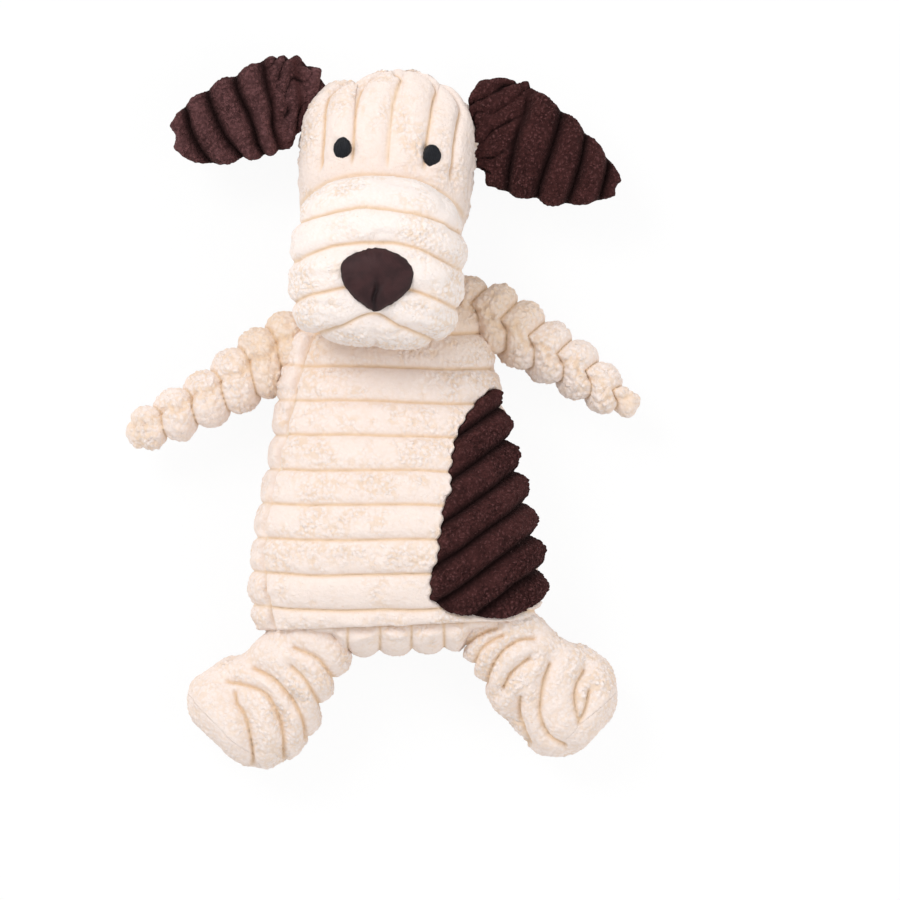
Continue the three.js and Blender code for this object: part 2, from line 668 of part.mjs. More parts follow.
const armWidthCurve = tableCurve(armWidthShares);
const legWidthCurve = tableCurve(legWidthShares);
const legDepthCurve = tableCurve(legDepthShares);

/** One arm: its root, its lump and the faces of its surfaces. */
function armOf(side) {
  const spec = sides[side];
  return {
    root: limbRoot(pivots[`${side}_shoulder`].centre, spec.sign, spec.armDrop, armBall, armColumn,
      travel.armSwing, travel.armLift),
    rings: counts.armRingsPerBead * armBeadCount,
    sides: counts.armSides,
    innerRings: counts.innerRings,
    innerSides: counts.armInnerSides,
    lump: new Lump({
      length: spec.armLength,
      width: (t) => armWidthCurve(t) * spec.armWidth / 2,
      depth: (t) => armWidthCurve(t) * spec.armWidth / 2,
      beads: armBeadCount, beadShare: armBeadDepthShare, round: armRoundPowers, square: armSquarePower,
    }),
  };
}

/** One leg: its root, its lump and the faces of its surfaces. */
function legOf(side) {
  const spec = sides[side];
  return {
    root: limbRoot(pivots[`${side}_hip`].centre, spec.sign, spec.legDrop, legBall, legColumn,
      travel.legSwing, travel.legLift),
    rings: counts.legRings,
    sides: counts.legSides,
    innerRings: counts.innerRings,
    innerSides: counts.legInnerSides,
    lump: new Lump({
      length: legLength,
      width: (t) => legWidthCurve(t) * footWidth / 2,
      depth: (t) => legDepthCurve(t) * footDepth / 2,
      round: legRoundPowers, depthRound: legDepthPowers, square: legSquarePower,
    }),
  };
}

const earWidthCurve = tableCurve(earWidthShares);
const earDepthCurve = tableCurve(earDepthShares);

/** An ear's form: a flat lump with a round root bar about its hinge. */
function earForm(side, inset, rings, sideCount) {
  const spec = sides[side];
  const lump = new Lump({
    length: spec.earLength,
    width: (t) => earWidthCurve(t) * spec.earWidth / 2,
    depth: (t) => earDepthCurve(t) * earThickness / 2,
    round: earRoundPowers, depthRound: earDepthPowers, square: earSquarePower,
  });
  const blade = solid(lump.geometry(inset, rings, sideCount), headEars[side]);
  const centre = new THREE.Vector3().applyMatrix4(headEars[side]);
  const hinge = new THREE.Vector3(1, 0, 0).transformDirection(headEars[side]);
  const turns = travel.earFlap.map((degrees) => turnAbout(centre, hinge, -degrees));
  return clearOf(blade, inset, skull, headMatrix, turns).add(earBar(side, earRoot - inset));
}

// Colours and the finished meshes

const cream = { color: 0xf3e8d3, roughness: 0.95, metalness: 0 };
const brown = { color: 0x3d2626, roughness: 0.95, metalness: 0 };
const satin = { color: 0x35272a, roughness: 0.55, metalness: 0 };
const embroidery = { color: 0x15161d, roughness: 0.5, metalness: 0 };
const wadding = { color: 0xf7f7f4, roughness: 1, metalness: 0 };
const threadLook = { color: 0xe9dcc0, roughness: 0.8, metalness: 0 };
const plastic = { color: 0xf0f0ec, roughness: 0.45, metalness: 0 };

const toy = new THREE.Group();

/** Adds a finished solid as a named mesh. */
function add(name, form, look) {
  const mesh = form.getMesh();
  const geometry = new THREE.BufferGeometry();
  geometry.setAttribute('position', new THREE.BufferAttribute(mesh.vertProperties, 3));
  geometry.setIndex(new THREE.BufferAttribute(mesh.triVerts, 1));
  geometry.computeVertexNormals();
  const part = new THREE.Mesh(geometry, new THREE.MeshStandardMaterial(look));
  part.name = name;
  toy.add(part);
}

add('body_front_panel', bodyFront, cream);
add('body_back_panel', bodyBack, cream);
add('body_base_gusset', bodyBase, cream);
add('flank_patch', bodyPatch, brown);
add('body_stuffing_front', stuffingFront, wadding);
add('body_stuffing_back', stuffingBack, wadding);
add('closing_stitches', closingStitches, threadLook);
add('squeaker_capsule', capsule, plastic);
add('squeaker_reed_holder', reedHolder, plastic);
add('squeaker_reed', reed, plastic);
add('neck_stitches', gathering(neckMatrix, neckBall), threadLook);
add('forehead_panel', foreheadPanel, cream);
add('muzzle_panel', muzzlePanel, cream);
add('chin_panel', chinPanel, cream);
add('head_back_panel', headBack, cream);
add('head_stuffing', headStuffing, wadding);
add('nose_pad', noseForm(0), satin);
add('mouth_stitch', mouthStitch, threadLook);
for (const [side, spec] of Object.entries(sides)) {
  add(`${side}_eye`, eyeForm(spec.sign, 0), embroidery);
  const earOuter = earForm(side, 0, counts.earRings, counts.earSides);
  const earShell = earOuter.subtract(earForm(side, skin, counts.earInnerRings, counts.earInnerSides));
  const earPoint = new THREE.Vector3().applyMatrix4(headEars[side]);
  add(`${side}_ear_front_panel`, earShell.intersect(halfSpace(earPoint, up)), brown);
  add(`${side}_ear_back_panel`, earShell.intersect(halfSpace(earPoint, up.clone().negate())), brown);
  const arm = armOf(side);
  add(`${side}_shoulder_stitches`, gathering(arm.root.matrix, armBall), threadLook);
  add(`${side}_arm_sleeve`, limbSleeve(arm), cream);
  add(`${side}_arm_stuffing`, limbForm(arm, skin + clearance, arm.innerRings, arm.innerSides), wadding);
  const leg = legOf(side);
  const solePoint = new THREE.Vector3(0, legLength - soleHeight, 0).applyMatrix4(leg.root.matrix);
  const outward = new THREE.Vector3(0, 1, 0).transformDirection(leg.root.matrix);
  const legShell = limbSleeve(leg);
  add(`${side}_hip_stitches`, gathering(leg.root.matrix, legBall), threadLook);
  add(`${side}_leg_sleeve`, legShell.intersect(halfSpace(solePoint, outward.clone().negate())), cream);
  add(`${side}_leg_sole`, legShell.intersect(halfSpace(solePoint, outward)), cream);
  add(`${side}_leg_stuffing`, limbForm(leg, skin + clearance, leg.innerRings, leg.innerSides), wadding);
}

// Where the sewn joints turn, for whoever poses the toy
toy.userData.pivots = Object.fromEntries(Object.entries(pivots).map(([name, { centre }]) => [name, centre]));
toy.userData.ears = headEars;
toy.userData.axes = {
  neckNod: neckRoot.swingAxis, neckTurn: neckRoot.liftAxis,
  leftArmLift: armOf('left').root.liftAxis, rightArmLift: armOf('right').root.liftAxis,
  leftLegLift: legOf('left').root.liftAxis, rightLegLift: legOf('right').root.liftAxis,
};

// The origin stands under the middle of the whole toy
const bounds = new THREE.Box3().setFromObject(toy);
const middle = bounds.getCenter(new THREE.Vector3());
toy.position.set(-middle.x, -middle.y, -bounds.min.z);

export default toy;
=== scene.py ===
"""A stuffed corduroy dog that squeaks, lying on its back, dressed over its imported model.

Lengths are millimetres until a mesh is made. +X is the viewer's right, +Y runs to the head and
+Z is up out of the belly. Left and right in every name are the viewer's.
"""

from __future__ import annotations

import itertools
import json
import logging
import math
from collections.abc import Callable, Sequence
from dataclasses import dataclass, field, replace
from enum import Enum, IntEnum
from typing import ClassVar

import bmesh
import bpy
import numpy as np
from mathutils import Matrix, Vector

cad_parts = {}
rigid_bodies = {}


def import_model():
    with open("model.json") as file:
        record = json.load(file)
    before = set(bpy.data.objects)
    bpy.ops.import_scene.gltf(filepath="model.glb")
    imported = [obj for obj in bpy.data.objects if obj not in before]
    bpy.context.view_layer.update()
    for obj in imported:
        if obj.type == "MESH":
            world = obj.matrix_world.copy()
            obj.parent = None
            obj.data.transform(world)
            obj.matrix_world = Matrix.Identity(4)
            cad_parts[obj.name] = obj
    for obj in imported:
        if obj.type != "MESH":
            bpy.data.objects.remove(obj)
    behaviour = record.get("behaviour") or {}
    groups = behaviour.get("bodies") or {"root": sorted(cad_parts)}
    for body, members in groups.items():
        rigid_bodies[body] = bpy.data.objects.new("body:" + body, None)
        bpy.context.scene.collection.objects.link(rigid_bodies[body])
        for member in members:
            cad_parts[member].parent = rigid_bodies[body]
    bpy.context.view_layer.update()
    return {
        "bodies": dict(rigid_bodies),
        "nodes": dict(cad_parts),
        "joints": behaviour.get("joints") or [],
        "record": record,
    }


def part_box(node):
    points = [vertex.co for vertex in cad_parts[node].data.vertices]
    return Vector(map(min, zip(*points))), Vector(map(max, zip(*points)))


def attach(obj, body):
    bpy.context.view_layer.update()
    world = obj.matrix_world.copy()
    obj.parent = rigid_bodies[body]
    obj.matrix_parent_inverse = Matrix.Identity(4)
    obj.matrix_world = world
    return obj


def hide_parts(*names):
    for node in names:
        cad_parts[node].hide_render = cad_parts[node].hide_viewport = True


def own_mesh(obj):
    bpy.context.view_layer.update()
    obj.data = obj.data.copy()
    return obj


LOG = logging.getLogger("toy")
METRE = 0.001
FULL_TURN = 2 * math.pi
UP = (0, 0, 1)
TABLE_GAP = 0.05
NO_SEAM = 50.0

Array = np.ndarray
Curve = Callable[[Array], Array]
Colour = tuple[float, float, float]
Pairs = Sequence[tuple[float, float]]
Ends = tuple[bool, bool]
Socket = bpy.types.NodeSocket

NEITHER: Ends = (False, False)
FIRST: Ends = (True, False)
LAST: Ends = (False, True)
BOTH: Ends = (True, True)


class Slot(Enum):
    """The finishes of the record."""

    CREAM = "cream_plush"
    BROWN = "brown_plush"
    SATIN = "nose_satin"
    EYE = "eye_thread"
    STUFFING = "stuffing"
    THREAD = "sewing_thread"
    PLASTIC = "squeaker_plastic"


class Side(Enum):
    """The viewer's side, with the sign of its X."""

    LEFT = -1
    RIGHT = 1

    @property
    def word(self) -> str:
        """The side's name in lower case."""
        return self.name.lower()


class Seed(IntEnum):
    """Which scatter of noise each piece takes."""

    EYE = 5
    BELLY = 11
    BODY_BACK = 23
    BASE = 31
    PATCH = 47
    BROW = 53
    THROAT = 59
    HEAD_BACK = 61
    MUZZLE = 67
    BODY_LUMPS = 71
    BODY_TUFTS = 73
    NOSE_EDGE = 83
    NOSE_FACE = 89
    HEAD_LUMPS = 91
    HEAD_TUFTS = 93
    LIMB_LUMPS = 97
    LIMB_TUFTS = 99
    EAR_SLANT = 101
    EAR_FOLDS = 103
    EAR = 107
    ARM = 131
    LEG = 143
    CRUMBS = 151


# Curves, frames and noise


def curve(pairs: Pairs) -> Curve:
    """Makes a smooth curve through a table: cubic spans whose slope at a point is its neighbours'.

    Args:
        pairs: Places and values, the places rising.

    Returns:
        A function from an array of places to values.
    """
    places, values = (np.array(column, float) for column in zip(*pairs))
    last = np.minimum(np.arange(len(places)) + 1, len(places) - 1)
    first = np.maximum(np.arange(len(places)) - 1, 0)
    slopes = (values[last] - values[first]) / (places[last] - places[first])

    def read(t: Array) -> Array:
        """Reads the curve.

        Args:
            t: Places.

        Returns:
            One value a place.
        """
        i = np.clip(np.searchsorted(places, t, "right") - 1, 0, len(places) - 2)
        span = places[i + 1] - places[i]
        u = (t - places[i]) / span
        rise = slopes[i] * span
        fall = slopes[i + 1] * span
        cubic = 2 * values[i] - 2 * values[i + 1] + rise + fall
        square = 3 * values[i + 1] - 3 * values[i] - 2 * rise - fall
        return ((cubic * u + square) * u + rise) * u + values[i]

    return read


def steady(value: float) -> Curve:
    """A curve that keeps one value."""
    return lambda t: np.full(np.shape(t), float(value))


def smooth_step(low: float, high: float, value: Array) -> Array:
    """Rises from 0 at low to 1 at high along a cubic with level ends."""
    u = np.clip((value - low) / (high - low), 0, 1)
    return u * u * (3 - 2 * u)


def signed_power(value: Array, power: float) -> Array:
    """A power that keeps its sign, for superellipses."""
    return np.sign(value) * np.abs(value) ** power


@dataclass(frozen=True)
class Frame:
    """A piece's own frame: where it starts and which way its own X, Y and Z run."""

    origin: Array
    axes: Array

    @staticmethod
    def turned(x: float, y: float, z: float, degrees: float) -> Frame:
        """A frame turned about Z.

        Args:
            x: The origin's X.
            y: The origin's Y.
            z: The origin's Z.
            degrees: The turn, positive from X to Y.

        Returns:
            The frame.
        """
        cos, sin = math.cos(math.radians(degrees)), math.sin(math.radians(degrees))
        return Frame(np.array([x, y, z]), np.array([[cos, sin, 0], [-sin, cos, 0], [0, 0, 1.0]]))

    def out(self, points: Array) -> Array:
        """Own coordinates turned into the toy's."""
        return self.origin + points @ self.axes

    def own(self, points: Array) -> Array:
        """The toy's coordinates turned into own ones."""
        return (points - self.origin) @ self.axes.T

    @staticmethod
    def hinged(pivot: Array, axis: Array) -> Frame:
        """A frame at a joint, its own X along the joint's axis and its own Z up.

        Args:
            pivot: The joint's place.
            axis: The joint's level axis.

        Returns:
            The frame.
        """
        x = axis / np.linalg.norm(axis)
        up = np.array(UP, float)
        return Frame(pivot, np.array([x, np.cross(up, x), up]))


CELL_PRIMES = np.array([73856093, 19349663, 83492791])
SEED_PRIME = 40503
SEED_OFFSET = 977
MIXING = ((13, 1274126177), (16, 668265263))
LAST_SHIFT = 15
LARGEST = 0xFFFFF


def scatter(cells: Array, seed: int) -> Array:
    """Numbers from 0 to 1 that depend only on whole cell indices: their products with primes are mixed.

    Args:
        cells: Whole numbers, the last axis of three.
        seed: Another whole number.

    Returns:
        One number a cell.
    """
    mixed = np.bitwise_xor.reduce(cells * CELL_PRIMES, axis=-1) ^ (seed * SEED_PRIME + SEED_OFFSET)
    for shift, factor in MIXING:
        mixed = (mixed ^ (mixed >> shift)) * factor
    return ((mixed ^ (mixed >> LAST_SHIFT)) & LARGEST) / (LARGEST + 1)


def soft_noise(points: Array, size: float, seed: int) -> Array:
    """Smooth noise from -1 to 1: random values at the corners of a lattice, blended by cubics.

    Args:
        points: Places in millimetres.
        size: The lattice's spacing.
        seed: Which lattice.

    Returns:
        One value a point.
    """
    scaled = points / size
    cell = np.floor(scaled).astype(np.int64)
    part = scaled - cell
    part = part * part * (3 - 2 * part)
    total = np.zeros(points.shape[:-1])
    for corner in itertools.product((0, 1), repeat=3):
        weight = np.prod(np.where(corner, part, 1 - part), axis=-1)
        total += weight * scatter(cell + np.array(corner), seed)
    return 2 * total - 1


def tufts(points: Array, size: float, seed: int) -> Array:
    """Clumps of pile: 1 at the middle of each scattered clump and falling to 0 between clumps.

    The value is one less the distance to the nearest of one jittered point a cell, in cells.

    Args:
        points: Places in millimetres.
        size: The clumps' spacing.
        seed: Which scatter.

    Returns:
        One value a point.
    """
    scaled = points / size
    cell = np.floor(scaled).astype(np.int64)
    nearest = np.full(points.shape[:-1], 9.0)
    for step in itertools.product((-1, 0, 1), repeat=3):
        near = cell + np.array(step)
        middle = near + np.stack([scatter(near, seed + k) for k in range(3)], axis=-1)
        nearest = np.minimum(nearest, np.sum((middle - scaled) ** 2, axis=-1))
    return np.clip(1 - np.sqrt(nearest), 0, 1)


# Meshes


@dataclass
class Grid:
    """A surface as rows and columns of points, with values that materials read.

    Attributes:
        points: Rows by columns by three, in millimetres.
        around: Whether the last column meets the first.
        inside: A point on the inner side, for turning the faces outwards.
        values: Named numbers from 0 to 1 at the points.
    """

    points: Array
    around: bool
    inside: Array
    values: dict[str, Array] = field(default_factory=dict)

    def normals(self) -> Array:
        """Unit normals that point away from the inside: the cross product of the two steps."""
        along = np.gradient(self.points, axis=0)
        if self.around:
            across = (np.roll(self.points, -1, 1) - np.roll(self.points, 1, 1)) / 2
        else:
            across = np.gradient(self.points, axis=1)
        normal = np.cross(along, across)
        length = np.linalg.norm(normal, axis=-1, keepdims=True)
        normal = normal / np.maximum(length, 1e-12)
        outward = np.sign(np.sum(normal * (self.points - self.inside)))
        return normal * outward

    def seam_distance(self, rows: Ends, columns: Ends) -> Array:
        """How far each point lies from the sewn edges, by summing the steps from each edge.

        Args:
            rows: Whether the first and the last row are sewn.
            columns: Whether the first and the last column are sewn.

        Returns:
            The least distance at each point.
        """
        far = np.full(self.points.shape[:2], 1e3)
        for axis, (first, last) in ((0, rows), (1, columns)):
            step = np.linalg.norm(np.diff(self.points, axis=axis), axis=-1)
            start = np.zeros_like(np.take(step, [0], axis))
            reach = np.cumsum(np.concatenate([start, step], axis), axis)
            if first:
                far = np.minimum(far, reach)
            if last:
                far = np.minimum(far, np.take(reach, [-1], axis) - reach)
        return far

    def tucked(self, depth: float, rows: Ends, columns: Ends) -> Grid:
        """The grid with its sewn edges turned in by a depth along the inward normal.

        Args:
            depth: How far an edge turns in.
            rows: Whether the first and the last row turn in.
            columns: Whether the first and the last column turn in.

        Returns:
            The grid with an added row or column at each such edge.
        """
        inward = self.points - depth * self.normals()
        points, values = self.points, dict(self.values)
        for axis, (first, last) in ((0, rows), (1, columns)):
            width = [(0, 0), (0, 0)]
            width[axis] = (int(first), int(last))
            inward = np.pad(inward, [*width, (0, 0)], mode="edge")
            points = np.pad(points, [*width, (0, 0)], mode="edge")
            values = {name: np.pad(v, width, mode="edge") for name, v in values.items()}
            edge = [slice(None), slice(None)]
            for used, place in ((first, 0), (last, -1)):
                if used:
                    edge[axis] = place
                    points[tuple(edge)] = inward[tuple(edge)]
        return Grid(points, self.around, self.inside, values)

    def darken(self, extra: Array) -> None:
        """Adds painted shade to the groove value and keeps it from 0 to 1."""
        self.values["groove"] = np.clip(self.values["groove"] + extra, 0, 1)

    def lift(self, least: float = TABLE_GAP) -> None:
        """Raises what lies lower over the table than the least height."""
        self.points[..., 2] = np.maximum(self.points[..., 2], least)

    def mesh(self, name: str, poles: Ends = NEITHER) -> bpy.types.Object:
        """Makes the mesh object, in metres at the origin.

        Args:
            name: The piece's name.
            poles: Whether the first and the last row close on a point.

        Returns:
            The object, linked to the scene.
        """
        count, sides = self.points.shape[:2]
        index = np.arange(count * sides).reshape(count, sides)
        if self.around:
            index = np.concatenate([index, index[:, :1]], axis=1)
        quads = np.stack([index[:-1, :-1], index[1:, :-1], index[1:, 1:], index[:-1, 1:]], axis=-1)
        quads = quads.reshape(-1, 4)
        flat = self.points.reshape(-1, 3)
        values = {name_: v.reshape(-1) for name_, v in self.values.items()}
        triangles = np.zeros((0, 3), int)
        for used, row, flip in ((poles[0], 0, False), (poles[1], -1, True)):
            if used:
                tip = np.full(index.shape[1] - 1, len(flat))
                first, second = index[row, :-1], index[row, 1:]
                fan = np.stack([tip, second, first] if flip else [tip, first, second], axis=-1)
                triangles = np.concatenate([triangles, fan])
                flat = np.concatenate([flat, self.points[row].mean(axis=0, keepdims=True)])
                values = {k: np.append(v, self.values[k][row].mean()) for k, v in values.items()}
        a, b, c = (flat[quads[:, k]] for k in (0, 1, 3))
        facing = np.sum(np.cross(b - a, c - a) * (a - self.inside))
        if facing < 0:
            quads, triangles = quads[:, ::-1], triangles[:, ::-1]
        return make_mesh(name, flat, quads, triangles, values)


def make_mesh(name: str, points: Array, quads: Array, triangles: Array,
              values: dict[str, Array]) -> bpy.types.Object:
    """Puts arrays into a smooth-shaded mesh object.

    Args:
        name: The piece's name.
        points: Vertices in millimetres.
        quads: Vertex indices of the four-sided faces.
        triangles: Vertex indices of the three-sided faces.
        values: Named numbers at the vertices.

    Returns:
        The object, linked to the scene.
    """
    mesh = bpy.data.meshes.new(name)
    corners = np.concatenate([quads.ravel(), triangles.ravel()]).astype(np.int32)
    starts = np.concatenate([np.arange(len(quads)) * 4, len(quads) * 4 + np.arange(len(triangles)) * 3])
    mesh.vertices.add(len(points))
    mesh.vertices.foreach_set("co", (points * METRE).astype(np.float32).ravel())
    mesh.loops.add(len(corners))
    mesh.loops.foreach_set("vertex_index", corners)
    mesh.polygons.add(len(starts))
    mesh.polygons.foreach_set("loop_start", starts.astype(np.int32))
    mesh.update(calc_edges=True)
    mesh.validate()
    mesh.shade_smooth()
    for label, numbers in values.items():
        attribute = mesh.attributes.new(label, "FLOAT", "POINT")
        attribute.data.foreach_set("value", numbers.astype(np.float32))
    made = bpy.data.objects.new(name, mesh)
    bpy.context.scene.collection.objects.link(made)
    return made


def join_parts(name: str, parts: Sequence[tuple[Array, Array]],
               values: dict[str, float] | None = None) -> bpy.types.Object:
    """Joins several closed grids, whose rows end on points, into one mesh object.

    Args:
        name: The piece's name.
        parts: For each grid its points and an inner point.
        values: Named numbers kept all over.

    Returns:
        The object, linked to the scene.
    """
    made = []
    for points, inside in parts:
        kept = {label: np.full(points.shape[:2], number) for label, number in (values or {}).items()}
        made.append(Grid(points, True, inside, kept).mesh(name, BOTH))
    if len(made) > 1:
        with bpy.context.temp_override(active_object=made[0], selected_editable_objects=made):
            bpy.ops.object.join()
    return made[0]


def face_outwards(piece: bpy.types.Object, merge: float = 1e-6) -> None:
    """Merges a closed piece's doubled points and turns its faces outwards.

    Args:
        piece: The piece.
        merge: The distance, in metres, within which points are one.
    """
    work = bmesh.new()
    work.from_mesh(piece.data)
    bmesh.ops.remove_doubles(work, verts=work.verts, dist=merge)
    bmesh.ops.recalc_face_normals(work, faces=work.faces)
    work.to_mesh(piece.data)
    work.free()


# Finishes


class Nodes:
    """A material's node tree, with short calls to add and join nodes."""

    def __init__(self, name: str) -> None:
        """Starts a material with a Principled shader.

        Args:
            name: The material's name.
        """
        self.material = bpy.data.materials.new(name)
        self.material.use_nodes = True
        self.tree = self.material.node_tree
        self.shader = self.tree.nodes["Principled BSDF"]
        self.place = self.add("ShaderNodeTexCoord").outputs["Object"]

    def feed(self, target: Socket, value: Socket | Colour | float) -> None:
        """Joins a socket to an input, or sets the input to a value.

        Args:
            target: The input.
            value: A socket, a number, or three numbers for a vector or a colour.
        """
        if isinstance(value, bpy.types.NodeSocket):
            self.tree.links.new(value, target)
        elif target.type == "RGBA":
            target.default_value = (*value, 1)
        else:
            target.default_value = value

    def add(self, kind: str, *inputs: Socket | Colour | float | None, **settings: object) -> bpy.types.Node:
        """Adds a node and sets what is given for it.

        Args:
            kind: The node's type.
            *inputs: What its first inputs take, or None where one is left.
            **settings: Properties of the node, or inputs by name with underscores for spaces.

        Returns:
            The node.
        """
        node = self.tree.nodes.new(kind)
        for key, value in settings.items():
            if hasattr(node, key):
                setattr(node, key, value)
            else:
                self.feed(node.inputs[key.replace("_", " ")], value)
        for target, value in zip(node.inputs, inputs):
            if value is not None:
                self.feed(target, value)
        return node

    def attribute(self, name: str) -> Socket:
        """A number that the mesh carries."""
        return self.add("ShaderNodeAttribute", attribute_name=name).outputs["Fac"]

    def noise(self, size: float, detail: float = 2.0, rough: float = 0.5, output: str = "Fac") -> Socket:
        """Noise on the object's own place.

        Args:
            size: The spacing of its lumps in millimetres.
            detail: How many finer layers it has.
            rough: How strong the finer layers are.
            output: Which output is used.

        Returns:
            The noise.
        """
        node = self.add("ShaderNodeTexNoise", self.place, Scale=1 / (size * METRE), Detail=detail,
                        Roughness=rough)
        return node.outputs[output]

    def ramp(self, source: Socket, low: float, high: float) -> Socket:
        """A number spread from 0 at low to 1 at high."""
        node = self.add("ShaderNodeMapRange", source, low, high, interpolation_type="SMOOTHSTEP")
        return node.outputs["Result"]

    def mix(self, share: Socket, first: Socket | Colour, second: Socket | Colour) -> Socket:
        """Two colours mixed by a share.

        Args:
            share: 0 for the first and 1 for the second.
            first: A colour or a socket.
            second: A colour or a socket.

        Returns:
            The mixed colour.
        """
        node = self.add("ShaderNodeMix", data_type="RGBA")
        colours = [socket for socket in node.inputs if socket.type == "RGBA"]
        for target, value in zip((node.inputs["Factor"], *colours), (share, first, second)):
            self.feed(target, value)
        return next(socket for socket in node.outputs if socket.type == "RGBA")

    def scaled(self, source: Socket, factor: Socket | float) -> Socket:
        """A number times a factor."""
        return self.add("ShaderNodeMath", source, factor, operation="MULTIPLY").outputs[0]

    def curls(self, size: float, stretch: float, bend_share: float = 2.2) -> Socket:
        """Bent cells of pile: 0 in the middle of a curl and about 1 between curls.

        Args:
            size: The curls' spacing in millimetres.
            stretch: How far noise bends them, in millimetres.
            bend_share: The bends' spacing as a share of the curls'.

        Returns:
            The distance's number.
        """
        bend = self.noise(bend_share * size, 1.0, output="Color")
        shift = self.add("ShaderNodeVectorMath", bend, (stretch * METRE,) * 3, self.place,
                         operation="MULTIPLY_ADD")
        cells = self.add("ShaderNodeTexVoronoi", shift.outputs["Vector"], feature="SMOOTH_F1",
                         Scale=1 / (size * METRE), Smoothness=0.5)
        return cells.outputs["Distance"]

    def bump(self, *heights: tuple[Socket, float]) -> None:
        """Bumps the shader's surface.

        Args:
            *heights: Each a height from 0 to 1 and its depth in millimetres, below zero to sink.
        """
        normal = None
        for source, depth in heights:
            node = self.add("ShaderNodeBump", Strength=1.0, Distance=abs(depth) * METRE, Height=source,
                            invert=depth < 0)
            if normal is not None:
                self.feed(node.inputs["Normal"], normal)
            normal = node.outputs["Normal"]
        self.feed(self.shader.inputs["Normal"], normal)

    def set(self, **inputs: Socket | Colour | float) -> None:
        """Sets or joins the shader's own sockets, named with underscores for spaces."""
        for key, value in inputs.items():
            self.feed(self.shader.inputs[key.replace("_", " ")], value)


@dataclass(frozen=True)
class Plush:
    """Wide-wale corduroy plush: lit and pressed pile, backing and painted shade in the grooves, painted
    highlights and a sheen.

    Attributes:
        name: The material's name.
        pile: The pile's colour in the light.
        pressed: The pile's colour where it lies down.
        groove: The backing's colour in a groove, also used as painted shade in creases, seams and between
            curls.
        tip: The colour of the painted highlight on each curl's tip and on lit crests.
        sheen: The sheen's tint.
        sheen_weight: How strong the sheen is.
        speck: The colour of the rare loose specks.
        hollow: How much painted shade, in the groove's colour, shows between curls.
        curl: The curls' spacing in millimetres.
        relief: The curls' depth in millimetres.
    """

    name: str
    pile: Colour
    pressed: Colour
    groove: Colour
    tip: Colour
    sheen: Colour
    sheen_weight: float
    speck: Colour
    hollow: float
    curl: float
    relief: float
    matt_share: float = 0.4
    fine_share: float = 0.3
    tip_share: float = 0.6
    groove_share: float = 0.9
    speck_share: float = 0.3

    def material(self) -> bpy.types.Material:
        """Pile between lit and pressed, with painted highlights, backing and painted shade in the grooves,
        and rare loose specks.
        """
        n = Nodes(self.name)
        matt = n.ramp(n.noise(3.0, 3.0), 0.3, 0.72)
        fine = n.ramp(n.noise(0.5, 3.0, 0.65), 0.3, 0.75)
        distance = n.curls(self.curl, 1.6 * self.curl)
        nap = n.attribute("nap")
        # Painted highlights on each curl's tip, where the nap stands.
        tip_highlights = n.scaled(n.ramp(distance, 0.36, 0.14), nap)
        # Painted shade between the curls.
        hollow_shade = n.scaled(n.ramp(distance, 0.42, 0.68), nap)
        speck = n.ramp(n.noise(1.2, 0.0), 0.85, 0.87)
        body = self.pile
        for share, colour in (
            (n.scaled(matt, self.matt_share), self.pressed),
            (n.scaled(fine, self.fine_share), self.pressed),
            # Painted light on lit crests, read from the mesh's brush value.
            (n.attribute("brush"), self.tip),
            (n.scaled(tip_highlights, self.tip_share), self.tip),
            (n.scaled(hollow_shade, self.hollow), self.groove),
            # The groove value: the backing's colour in the grooves, with painted shade in grooves, creases
            # and seams.
            (n.scaled(n.attribute("groove"), self.groove_share), self.groove),
            (n.scaled(speck, self.speck_share), self.speck),
        ):
            body = n.mix(share, body, colour)
        n.set(Base_Color=body, Roughness=0.95, Sheen_Weight=self.sheen_weight, Sheen_Roughness=0.5,
              Sheen_Tint=self.sheen, Specular_IOR_Level=0.08)
        curl = n.scaled(n.ramp(distance, 0.2, 0.65), nap)
        n.bump((curl, -self.relief), (n.noise(0.7, 3.0, 0.65), 0.35), (n.noise(0.3, 2.0, 0.6), 0.12))
        return n.material


@dataclass(frozen=True)
class Smooth:
    """A finish without pile: two colours that mix in clouds, and noise for its grain.

    Attributes:
        name: The material's name.
        light: The lighter colour.
        dark: The darker colour.
        cloud: The clouds' noise: size, detail and roughness.
        spread: From which to which value of the noise the colours change.
        grain: Each layer of bumps as its noise and its depth in millimetres.
        settings: The shader's sockets.
        share: How much of the dark colour the clouds reach.
        creased: Whether the mesh's groove value paints shade, in the dark colour, in its creases.
        weave: The spacing and depth of woven bands, or None.
    """

    name: str
    light: Colour
    dark: Colour
    cloud: tuple[float, ...]
    spread: tuple[float, float]
    grain: Sequence[tuple[tuple[float, ...], float]]
    settings: dict[str, object]
    share: float = 1.0
    creased: bool = False
    weave: tuple[float, float] | None = None

    def material(self) -> bpy.types.Material:
        """The two clouded colours with painted shade in the creases, and woven bands and grain as bumps."""
        n = Nodes(self.name)
        clouds = n.scaled(n.ramp(n.noise(*self.cloud), *self.spread), self.share)
        colour = n.mix(clouds, self.light, self.dark)
        if self.creased:
            # Painted shade: the dark colour where the mesh's groove value marks a crease.
            colour = n.mix(n.attribute("groove"), colour, self.dark)
        n.set(Base_Color=colour, **self.settings)
        heights = [(n.noise(*noise), depth) for noise, depth in self.grain]
        if self.weave:
            spacing, depth = self.weave
            bands = n.add("ShaderNodeTexWave", n.place, wave_type="BANDS", bands_direction="DIAGONAL",
                          Scale=1 / (spacing * METRE), Distortion=1.5, Detail=1.0)
            heights.insert(0, (bands.outputs["Fac"], depth))
        n.bump(*heights)
        return n.material


